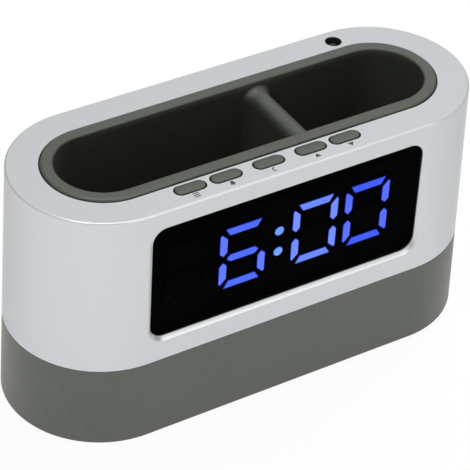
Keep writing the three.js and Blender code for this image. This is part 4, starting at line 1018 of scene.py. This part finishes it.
class CLOCK_OT_display(Operator):
    """Build the light guides of the four digits and the colon"""

    bl_idname = "clock.display"
    bl_label = "Display"

    # Place, lit bars and light of each digit; its bars are numbered in this order:
    # upper right, lower right, upper left, lower left, top, bottom, middle
    DIGITS = {
        "hour_tens_guide": (-32.9, (), None),
        "hour_units_guide": (-13.3, (1, 2, 3, 4, 5, 6), "hour_light"),
        "minute_tens_guide": (13.3, (0, 1, 2, 3, 4, 5), "tens_light"),
        "minute_units_guide": (32.9, (0, 1, 2, 3, 4, 5), "units_light"),
    }
    UPRIGHTS = 4  # the first bars of each digit stand upright
    DARK, LEVEL, UPRIGHT, RIM = range(4)  # order of a guide's finishes
    FRONT = 2.75  # depth of the guides' faces behind the front of the case, in millimetres
    BACK = 9.5  # depth of their backs
    STRENGTH = 10.0
    RIM_STRENGTH = 1.6
    PALENESS = 0.2  # how far upright bars lean towards the pale light

    def execute(self, context):
        window = window_sizes(context)
        colours = context.scene.clock_colours
        matrix = panel_matrix(case_sizes(context))
        self.middle = matrix.inverted() @ cad_box("colon_guide").middle
        outlines = self.bar_outlines(window)
        for node, (x, lit, light) in self.DIGITS.items():
            meshes = [self.bar(window, outline, x) for outline in outlines]
            faces = [self.face_finish(bar, lit) for bar in range(len(meshes))]
            self.add_guide(node, meshes, faces, self.finishes(colours, light), matrix)
        dots = []
        for rise in (-window.colon_rise, window.colon_rise):
            dot = [(x, y + rise) for x, y in pill(window.colon_dot, window.colon_dot)]
            dots.append(self.bar(window, dot, 0))
        faces = [self.LEVEL, self.LEVEL]
        self.add_guide("colon_guide", dots, faces, self.finishes(colours, "colon_light"), matrix)
        return {"FINISHED"}

    def face_finish(self, bar, lit):
        """Which finish a bar's face takes."""
        if bar not in lit:
            return self.DARK
        return self.UPRIGHT if bar < self.UPRIGHTS else self.LEVEL

    def finishes(self, colours, light):
        """Dark guide, lit level bars, lit upright bars, which look a little paler, and their rims."""
        if not light:
            return [dark_guide()]
        shade = Vector(getattr(colours, light))
        upright = shade.lerp(Vector(colours.pale_light), self.PALENESS)
        return [
            dark_guide(),
            lit_plastic(light, shade, self.STRENGTH),
            lit_plastic(f"{light}_upright", upright, self.STRENGTH),
            lit_plastic(f"{light}_rim", colours.rim_light, self.RIM_STRENGTH),
        ]

    def bar(self, window, outline, x):
        """One bar, as a prism whose front edge is a little broken."""
        place = (x + self.middle.x, self.middle.z, window.lean)
        return loft([
            at_depth(inset(outline, window.bar_edge), self.FRONT, *place),
            at_depth(outline, self.FRONT + window.bar_edge / 2, *place),
            at_depth(outline, self.BACK, *place),
        ])

    def add_guide(self, node, meshes, faces, finishes, matrix):
        """Joins the bars of a guide; each bar's face has its finish, and a lit face has a rim."""
        for mesh, finish in zip(meshes, faces):
            # A bar has two rows of sides, then its front face and its back face
            mesh.faces.ensure_lookup_table()
            corners = (len(mesh.faces) - 2) // 2
            rim = self.DARK if finish == self.DARK else self.RIM
            for face in mesh.faces:
                face.material_index = rim if face.index < corners else self.DARK
            mesh.faces[2 * corners].material_index = finish
        guide = moved(together(meshes), matrix)
        add_piece(f"{node}_bars", guide, CASE, "lit" if any(faces) else "clear", [node], *finishes)

    def bar_outlines(self, window):
        """Outlines of the seven bars about the middle of a digit."""
        right = window.digit_width / 2
        top = window.digit_height / 2
        width = window.bar_width
        half = width / 2
        gap = window.bar_gap
        clip = window.bar_clip
        upright = [
            (right, top - gap - 2 * clip),
            (right - clip, top - gap - clip),
            (right - width, top - width - gap),
            (right - width, gap + half),
            (right - half, gap),
            (right, gap + half),
        ]
        level = [
            (right - gap - clip, top),
            (gap + clip - right, top),
            (width + gap / 2 - right, top - width),
            (right - width - gap / 2, top - width),
        ]
        tip = right - half - gap
        end = tip - half
        middle = [(tip, 0), (end, half), (-end, half), (-tip, 0), (-end, -half), (end, -half)]

        def mirrored(points, side_x, side_y):
            return [(side_x * x, side_y * y) for x, y in points]

        uprights = [mirrored(upright, x, y) for x, y in ((1, 1), (1, -1), (-1, 1), (-1, -1))]
        return uprights + [level, mirrored(level, 1, -1), middle]


class CLOCK_OT_buttons(Operator):
    """Build the five button caps"""

    bl_idname = "clock.buttons"
    bl_label = "Buttons"

    FLANGE = 0.7  # how far the flange under a cap stands out, in millimetres
    FLANGE_HEIGHT = 1  # in millimetres
    CROWN_REACH = 0.98  # how near to a cap's middle line its crown is drawn

    def execute(self, context):
        keys = key_sizes(context)
        half = keys.width / 2 - keys.edge
        for key in KEYS:
            low, high, middle = cad_box(f"{key}_button")
            lift = low.z + self.FLANGE_HEIGHT
            rim = high.z - keys.crown
            rings = [keys.ring(self.FLANGE, low.z), keys.ring(self.FLANGE, lift), keys.ring(0, lift)]
            rings += [keys.ring(*level) for level in side_to_face(0, rim, keys.edge, keys.edge)]
            for step in range(1, EDGE_STEPS):
                share = step / EDGE_STEPS
                grow = -keys.edge - half * share * self.CROWN_REACH
                rings.append(keys.ring(grow, rim + keys.crown * (1 - (1 - share) ** 2)))
            cap = new_object(f"{key}_button_cap", over(loft(rings), middle.x, middle.y))
            finish_piece(cap, f"{key}_key", "grey", [f"{key}_button"], grey_plastic(context))
        return {"FINISHED"}


class CLOCK_OT_marks(Operator):
    """Print a small plain sign in front of each button"""

    bl_idname = "clock.marks"
    bl_label = "Button Marks"

    def execute(self, context):
        top = case_sizes(context).case_top
        keys = key_sizes(context)
        for key, outlines in self.signs().items():
            middle = cad_box(f"{key}_button").middle
            meshes = []
            for outline in outlines:
                points = [(x * keys.mark_size, y * keys.mark_size) for x, y in outline]
                meshes.append(prism(points, top - keys.mark_lift, top + keys.mark_lift))
            sign = over(together(meshes), middle.x, middle.y - keys.mark_drop)
            add_piece(f"{key}_mark", sign, CASE, "black", [], mark_ink(context))
        return {"FINISHED"}

    def signs(self):
        """Outlines of unit height: three bars, a bell, a crescent, and arrows up and down."""
        bars = []
        for y in (-0.4, 0.0, 0.4):
            bars.append([(-0.5, y - 0.1), (0.5, y - 0.1), (0.5, y + 0.1), (-0.5, y + 0.1)])
        bell = [(-0.5, -0.3), (0.5, -0.3), (0.34, -0.1), (0.3, 0.2)]
        for step in range(1, EDGE_STEPS):
            turn = pi * step / EDGE_STEPS
            bell.append((0.3 * cos(turn), 0.2 + 0.3 * sin(turn)))
        bell += [(-0.3, 0.2), (-0.34, -0.1)]
        clapper = [(0.13 * cos(pi / 4 * at), -0.42 + 0.1 * sin(pi / 4 * at)) for at in range(8)]
        crescent = []
        for step in range(CORNER_STEPS + 1):
            turn = radians(70) + radians(220) * step / CORNER_STEPS
            crescent.append((0.5 * cos(turn), 0.5 * sin(turn)))
        for step in range(1, CORNER_STEPS):
            turn = radians(285) - radians(210) * step / CORNER_STEPS
            crescent.append((0.16 + 0.42 * cos(turn), 0.42 * sin(turn)))
        up = [(-0.5, -0.4), (0.5, -0.4), (0, 0.45)]
        down = [(x, -y) for x, y in up]
        return {"mode": bars, "alarm": [bell, clapper], "snooze": [crescent], "up": [up], "down": [down]}


class CLOCK_OT_sensor(Operator):
    """Build the dark dome of the light sensor"""

    bl_idname = "clock.sensor"
    bl_label = "Light Sensor"

    # Sizes in millimetres
    RADIUS = 2.5
    FLANGE_RADIUS = 2.9
    FLANGE_HEIGHT = 1

    def execute(self, context):
        low, high, middle = cad_box("light_sensor")
        radius = self.RADIUS
        flange = self.FLANGE_RADIUS
        lift = low.z + self.FLANGE_HEIGHT
        profile = [(0, low.z), (flange, low.z), (flange, lift), (radius, lift)]
        for rise, reach in quarter(2 * EDGE_STEPS):
            profile.append((radius * reach if rise < 1 else 0, high.z - radius * (1 - rise)))
        dome = over(turned(profile), middle.x, middle.y)
        add_piece("sensor_dome", dome, CASE, "smoked", ["light_sensor"], sensor_resin())
        return {"FINISHED"}


class CLOCK_OT_battery_door(Operator):
    """Build the battery door with its tabs, latch tongue and grip grooves"""

    bl_idname = "clock.battery_door"
    bl_label = "Battery Door"

    # Sizes in millimetres
    EDGE = 0.25
    CORNER = 1.5
    TAB_HALF = 4
    TAB_HEIGHT = 1
    TAB_ROOT = 1.5  # how far a tab runs into the door
    SLIT_PLACES = (-6.5, 6.5)  # on both sides of the latch tongue
    SLIT_HALF = 0.5
    SLIT_LENGTH = 7
    GROOVE = (10, 0.8)
    GROOVE_DEPTH = 0.5
    GROOVE_PLACES = (1.9, 3.7, 5.5)  # from the edge of the tongue

    def execute(self, context):
        low, high = cad_box("battery_door")[:2]
        edge = self.EDGE
        rings = []
        for less, z in ((edge, low.z), (0, low.z + edge), (0, high.z - edge), (edge, high.z)):
            outline = rounded_rectangle(2 * (high.x - less), 2 * (high.y - less), self.CORNER)
            rings.append(at_height(outline, z))
        door = new_object("battery_door_plate", loft(rings))
        tabs = []
        for x in TAB_PLACES:
            root = (x + self.TAB_HALF, -high.y + self.TAB_ROOT, high.z)
            tabs.append(block((x - self.TAB_HALF, low.y, high.z - self.TAB_HEIGHT), root))
        combine(door, "UNION", together(tabs))
        cuts = []
        for x in self.SLIT_PLACES:
            end = (x + self.SLIT_HALF, high.y + CUT, high.z + CUT)
            cuts.append(block((x - self.SLIT_HALF, high.y - self.SLIT_LENGTH, low.z - CUT), end))
        for place in self.GROOVE_PLACES:
            groove = prism(pill(*self.GROOVE), low.z - CUT, low.z + self.GROOVE_DEPTH)
            cuts.append(over(groove, 0, high.y - place))
        combine(door, "DIFFERENCE", together(cuts))
        finish_piece(door, "battery_cover", "grey", ["battery_door"], grey_plastic(context))
        return {"FINISHED"}


class CLOCK_OT_cells(Operator):
    """Build the three battery cells"""

    bl_idname = "clock.cells"
    bl_label = "Battery Cells"

    # Sizes in millimetres
    ROUND = 0.9
    ROUND_HEIGHT = 0.6
    CAP_RADIUS = 1.9
    CAP_HEIGHT = 1
    CAP_EDGE = 0.2
    SLEEVE_RIM = 0.7  # width of the sleeve's rim round each bare end
    END_DEPTH = 2.5  # how far from each end there is bare metal

    def execute(self, context):
        for number in (1, 2, 3):
            low, high, middle = cad_box(f"battery_cell_{number}")
            radius = (high.z - low.z) / 2
            size = high.x - low.x
            facing = 1 if number % 2 else -1
            place = Matrix.Translation((low.x if facing > 0 else high.x, middle.y, middle.z))
            turn = Matrix.Rotation(facing * pi / 2, 4, "Y")
            mesh = moved(turned(self.profile(radius, size)), place @ turn)
            for face in mesh.faces:
                out = face.calc_center_median() - middle
                within = hypot(out.y, out.z) < radius - self.SLEEVE_RIM
                face.material_index = int(within and abs(out.x) > size / 2 - self.END_DEPTH)
            cell = new_object(f"battery_cell_{number}_sleeve", mesh)
            finish_piece(cell, CASE, "cell", [f"battery_cell_{number}"], cell_sleeve(), contact_nickel())
        return {"FINISHED"}

    def profile(self, radius, size):
        """Radii and heights of a cell from its flat end to the tip of its cap."""
        shoulder = size - self.CAP_HEIGHT
        profile = [(0, 0), (radius - self.ROUND, 0)]
        profile += face_to_side(radius, 0, self.ROUND, self.ROUND_HEIGHT)
        profile += side_to_face(radius, shoulder, self.ROUND, self.ROUND_HEIGHT)
        cap = self.CAP_RADIUS
        edge = self.CAP_EDGE
        return profile + [(cap, shoulder), (cap, size - edge), (cap - edge, size), (0, size)]


class CLOCK_OT_feet(Operator):
    """Build the four rubber feet"""

    bl_idname = "clock.feet"
    bl_label = "Feet"

    EDGE = 0.4  # rounding of a foot, in millimetres

    def execute(self, context):
        for corner in CORNERS:
            low, high, middle = cad_box(f"foot_{corner}")
            radius = (high.x - low.x) / 2
            profile = [(0, low.z)] + face_to_side(radius, low.z, self.EDGE, self.EDGE)
            profile += [(radius, high.z), (0, high.z)]
            foot = over(turned(profile), middle.x, middle.y)
            add_piece(f"foot_{corner}_pad", foot, CASE, "rubber", [f"foot_{corner}"], foot_rubber())
        return {"FINISHED"}


class CLOCK_OT_power_inlet(Operator):
    """Build the power inlet and its pin"""

    bl_idname = "clock.power_inlet"
    bl_label = "Power Inlet"

    # Sizes in millimetres
    COLLAR_PROUD = 1.85  # behind the square body
    COLLAR_START = 5
    COLLAR_RADIUS = 3.9
    EDGE = 0.2
    BORE_RADIUS = 3.1
    BORE_DEPTH = 9.5
    PIN_RADIUS = 1
    PIN_ROUND = 0.5

    def execute(self, context):
        low, high, middle = cad_box("power_jack")
        span = high.y - low.y
        radius = self.COLLAR_RADIUS
        start = self.COLLAR_START
        rim = span - self.EDGE
        square = block((low.x, low.y, low.z), (high.x, high.y - self.COLLAR_PROUD, high.z))
        body = new_object("power_inlet_body", square)
        collar = turned([(0, start), (radius, start), (radius, rim), (radius - self.EDGE, span), (0, span)])
        combine(body, "UNION", backwards(collar, middle.x, low.y, middle.z))
        bore = turned([
            (0, span - self.BORE_DEPTH),
            (self.BORE_RADIUS, span - self.BORE_DEPTH),
            (self.BORE_RADIUS, rim),
            (self.BORE_RADIUS + self.EDGE + CUT, span + CUT),
            (0, span + CUT),
        ])
        combine(body, "DIFFERENCE", backwards(bore, middle.x, low.y, middle.z))
        finish_piece(body, CASE, "black", ["power_jack"], black_plastic())
        low, high, middle = cad_box("power_jack_pin")
        pin = backwards(turned(self.pin_profile(high.y - low.y)), middle.x, low.y, middle.z)
        add_piece("power_inlet_pin", pin, CASE, "nickel", ["power_jack_pin"], contact_nickel())
        return {"FINISHED"}

    def pin_profile(self, size):
        """Radii and heights of the pin up to its rounded tip."""
        tip = self.PIN_ROUND
        profile = [(0, 0), (self.PIN_RADIUS, 0), (self.PIN_RADIUS, size - tip)]
        for rise, reach in quarter():
            flat = self.PIN_RADIUS - tip if rise < 1 else 0
            profile.append((tip * reach + flat, size - tip * (1 - rise)))
        return profile + [(0, size)]


class CLOCK_OT_inner_pieces(Operator):
    """Give the pieces inside the case their finishes"""

    bl_idname = "clock.inner_pieces"
    bl_label = "Inner Pieces"

    def execute(self, context):
        finishes = {
            "black": black_plastic,
            "board": board_mask,
            "steel": screw_steel,
            "nickel": contact_nickel,
            "wire": lead_sleeve,
            "ribbon": flat_cable,
        }
        for row in frame["record"]["subparts"]:
            node = frame["nodes"][row["node"]]
            if node.hide_render:
                continue
            finish = finishes[row["material_slot"]]()
            for slot in node.material_slots:
                slot.material = finish
        return {"FINISHED"}


class CLOCK_OT_stage(Operator):
    """Set up the floor, the light and the camera"""

    bl_idname = "clock.stage"
    bl_label = "Stage"

    EYE = Vector((-0.34172, -0.51522, 0.52634))
    RIGHT = Vector((0.8528, -0.5201, 0.04719))
    UP = Vector((0.29026, 0.54716, 0.78509))
    FOCUS = 2416.02  # distance from the eye to the picture, in pixels
    PICTURE = 470  # width of the picture, in pixels
    SENSOR = 36.0  # width of the camera's sensor, in millimetres
    FLOOR_HALF = 6.0  # half the width of the floor, in metres
    FLOOR_GLOW = 0.95  # share of plain white in the floor where it is seen
    DIM = 0.12  # light from all round, and of the low part of the mirrored sky
    SKY = (0.4, 0.6)  # heights between which the mirrored sky turns from dim to white
    AIM = Vector((0.0, 0.0, 0.05))  # what the lamps point at

    # Place, width and height, power, whether it lights surfaces, whether it is mirrored in them
    LAMPS = {
        "top_box": ((-0.1, -0.15, 1.6), (1.1, 0.45), 7.9, True, True),
        "back_box": ((0.5, 0.36, 0.8), (0.6, 0.35), 8.2, True, False),
        "end_box": ((-1.3, 0.1, 0.95), (0.6, 0.4), 2.4, True, False),
        "left_box": ((-0.86, -1.15, 0.1), (1.0, 0.16), 13.4, True, False),
        "front_card": ((0.45, -1.3, 0.6), (1.0, 0.8), 6.5, False, True),
        "corner_card": ((-0.84, -0.52, 1.08), (0.4, 0.4), 3.0, False, True),
        "right_box": ((1.2, -0.9, 0.1), (0.8, 0.16), 2.9, True, False),
    }

    def execute(self, context):
        self.add_floor(context)
        self.add_world(context)
        self.add_lamps(context)
        self.add_camera(context)
        context.scene.view_settings.view_transform = "Standard"
        return {"FINISHED"}

    def larger(self, tree, first, second):
        """The larger of two outputs."""
        node = add_node(tree, "Math", "MAXIMUM")
        tree.links.new(first, node.inputs[0])
        tree.links.new(second, node.inputs[1])
        return node.outputs[0]

    def seen_mask(self, tree):
        """One where a ray comes from the camera or from a mirror or window, else zero."""
        path = add_node(tree, "LightPath").outputs
        mirrored = self.larger(tree, path["Is Camera Ray"], path["Is Glossy Ray"])
        return self.larger(tree, mirrored, path["Is Transmission Ray"])

    def add_floor(self, context):
        """Paper that looks almost plain white, with a faint shadow."""
        mesh = bmesh.new()
        bmesh.ops.create_grid(mesh, x_segments=1, y_segments=1, size=self.FLOOR_HALF)
        floor = new_object("studio_floor", mesh)
        material, tree, shader = new_material("studio_paper")
        paper = (*context.scene.clock_colours.floor, 1.0)
        set_inputs(shader, Base_Color=paper, Roughness=0.9, Specular_IOR_Level=0.0)
        glow = add_node(tree, "Emission")
        mix = add_node(tree, "MixShader")
        share = add_node(tree, "Math", "MULTIPLY")
        share.inputs[1].default_value = self.FLOOR_GLOW
        tree.links.new(self.seen_mask(tree), share.inputs[0])
        wire(tree, share, 0, mix, "Fac")
        wire(tree, shader, "BSDF", mix, 1)
        wire(tree, glow, "Emission", mix, 2)
        wire(tree, mix, "Shader", tree.nodes["Material Output"], "Surface")
        material.cycles.emission_sampling = "NONE"
        floor.data.materials.append(material)

    def add_world(self, context):
        """White where it is seen, with a dim low part in mirrors, and dim where it lights."""
        world = bpy.data.worlds.new("studio_light")
        world.use_nodes = True
        tree = world.node_tree
        background = tree.nodes["Background"]
        set_inputs(background, Color=(1.0, 1.0, 1.0, 1.0))
        place = add_node(tree, "TexCoord")
        split = add_node(tree, "SeparateXYZ")
        sky = add_node(tree, "MapRange", From_Min=self.SKY[0], From_Max=self.SKY[1], To_Min=self.DIM)
        path = add_node(tree, "LightPath")
        level = add_node(tree, "Mix", A=self.DIM)
        wire(tree, place, "Generated", split, "Vector")
        wire(tree, split, "Z", sky, "Value")
        white = self.larger(tree, sky.outputs["Result"], path.outputs["Is Camera Ray"])
        tree.links.new(self.seen_mask(tree), level.inputs["Factor"])
        tree.links.new(white, level.inputs["B"])
        wire(tree, level, "Result", background, "Strength")
        world.cycles.sampling_method = "NONE"
        context.scene.world = world

    def add_lamps(self, context):
        """Soft boxes, and cards that are only mirrored."""
        for name, (place, size, power, lights, mirrored) in self.LAMPS.items():
            lamp = bpy.data.lights.new(name, "AREA")
            lamp.shape = "RECTANGLE"
            lamp.size, lamp.size_y = size
            lamp.energy = power
            made = bpy.data.objects.new(name, lamp)
            made.visible_diffuse = lights
            made.visible_glossy = mirrored
            made.location = place
            made.rotation_euler = (self.AIM - Vector(place)).to_track_quat("-Z", "Y").to_euler()
            context.scene.collection.objects.link(made)

    def add_camera(self, context):
        """The camera that was fitted to the photo."""
        data = bpy.data.cameras.new("photo_camera")
        data.sensor_fit = "HORIZONTAL"
        data.sensor_width = self.SENSOR
        data.lens = self.FOCUS * self.SENSOR / self.PICTURE
        camera = bpy.data.objects.new("photo_camera", data)
        back = self.RIGHT.cross(self.UP)
        turn = Matrix((self.RIGHT, self.UP, back)).transposed().to_4x4()
        camera.matrix_world = Matrix.Translation(self.EYE) @ turn
        context.scene.collection.objects.link(camera)
        context.scene.camera = camera


OPERATORS = (
    CLOCK_OT_upper_shell,
    CLOCK_OT_base_shell,
    CLOCK_OT_pen_cup,
    CLOCK_OT_window,
    CLOCK_OT_display,
    CLOCK_OT_buttons,
    CLOCK_OT_marks,
    CLOCK_OT_sensor,
    CLOCK_OT_battery_door,
    CLOCK_OT_cells,
    CLOCK_OT_feet,
    CLOCK_OT_power_inlet,
    CLOCK_OT_inner_pieces,
    CLOCK_OT_stage,
)


class CLOCK_PT_pieces(Panel):
    """Sidebar list of the clock's pieces"""

    bl_idname = "CLOCK_PT_pieces"
    bl_label = "Desk Clock"
    bl_space_type = "VIEW_3D"
    bl_region_type = "UI"
    bl_category = "Desk Clock"

    def draw(self, context):
        for operator in OPERATORS:
            self.layout.operator(operator.bl_idname)


def register():
    """Adds the sizes, the operators and the panel."""
    for group in GROUPS.values():
        bpy.utils.register_class(group)
    for name, group in GROUPS.items():
        setattr(bpy.types.Scene, name, PointerProperty(type=group))
    for operator in OPERATORS:
        bpy.utils.register_class(operator)
    bpy.utils.register_class(CLOCK_PT_pieces)


def unregister():
    """Takes away what was added, in the opposite order."""
    bpy.utils.unregister_class(CLOCK_PT_pieces)
    for operator in reversed(OPERATORS):
        bpy.utils.unregister_class(operator)
    for name in GROUPS:
        delattr(bpy.types.Scene, name)
    for group in reversed(GROUPS.values()):
        bpy.utils.unregister_class(group)


def main():
    """Builds all pieces and the stage."""
    register()
    bpy.ops.clock.upper_shell()
    bpy.ops.clock.base_shell()
    bpy.ops.clock.pen_cup()
    bpy.ops.clock.window()
    bpy.ops.clock.display()
    bpy.ops.clock.buttons()
    bpy.ops.clock.marks()
    bpy.ops.clock.sensor()
    bpy.ops.clock.battery_door()
    bpy.ops.clock.cells()
    bpy.ops.clock.feet()
    bpy.ops.clock.power_inlet()
    bpy.ops.clock.inner_pieces()
    bpy.ops.clock.stage()


if __name__ == "__main__":
    main()
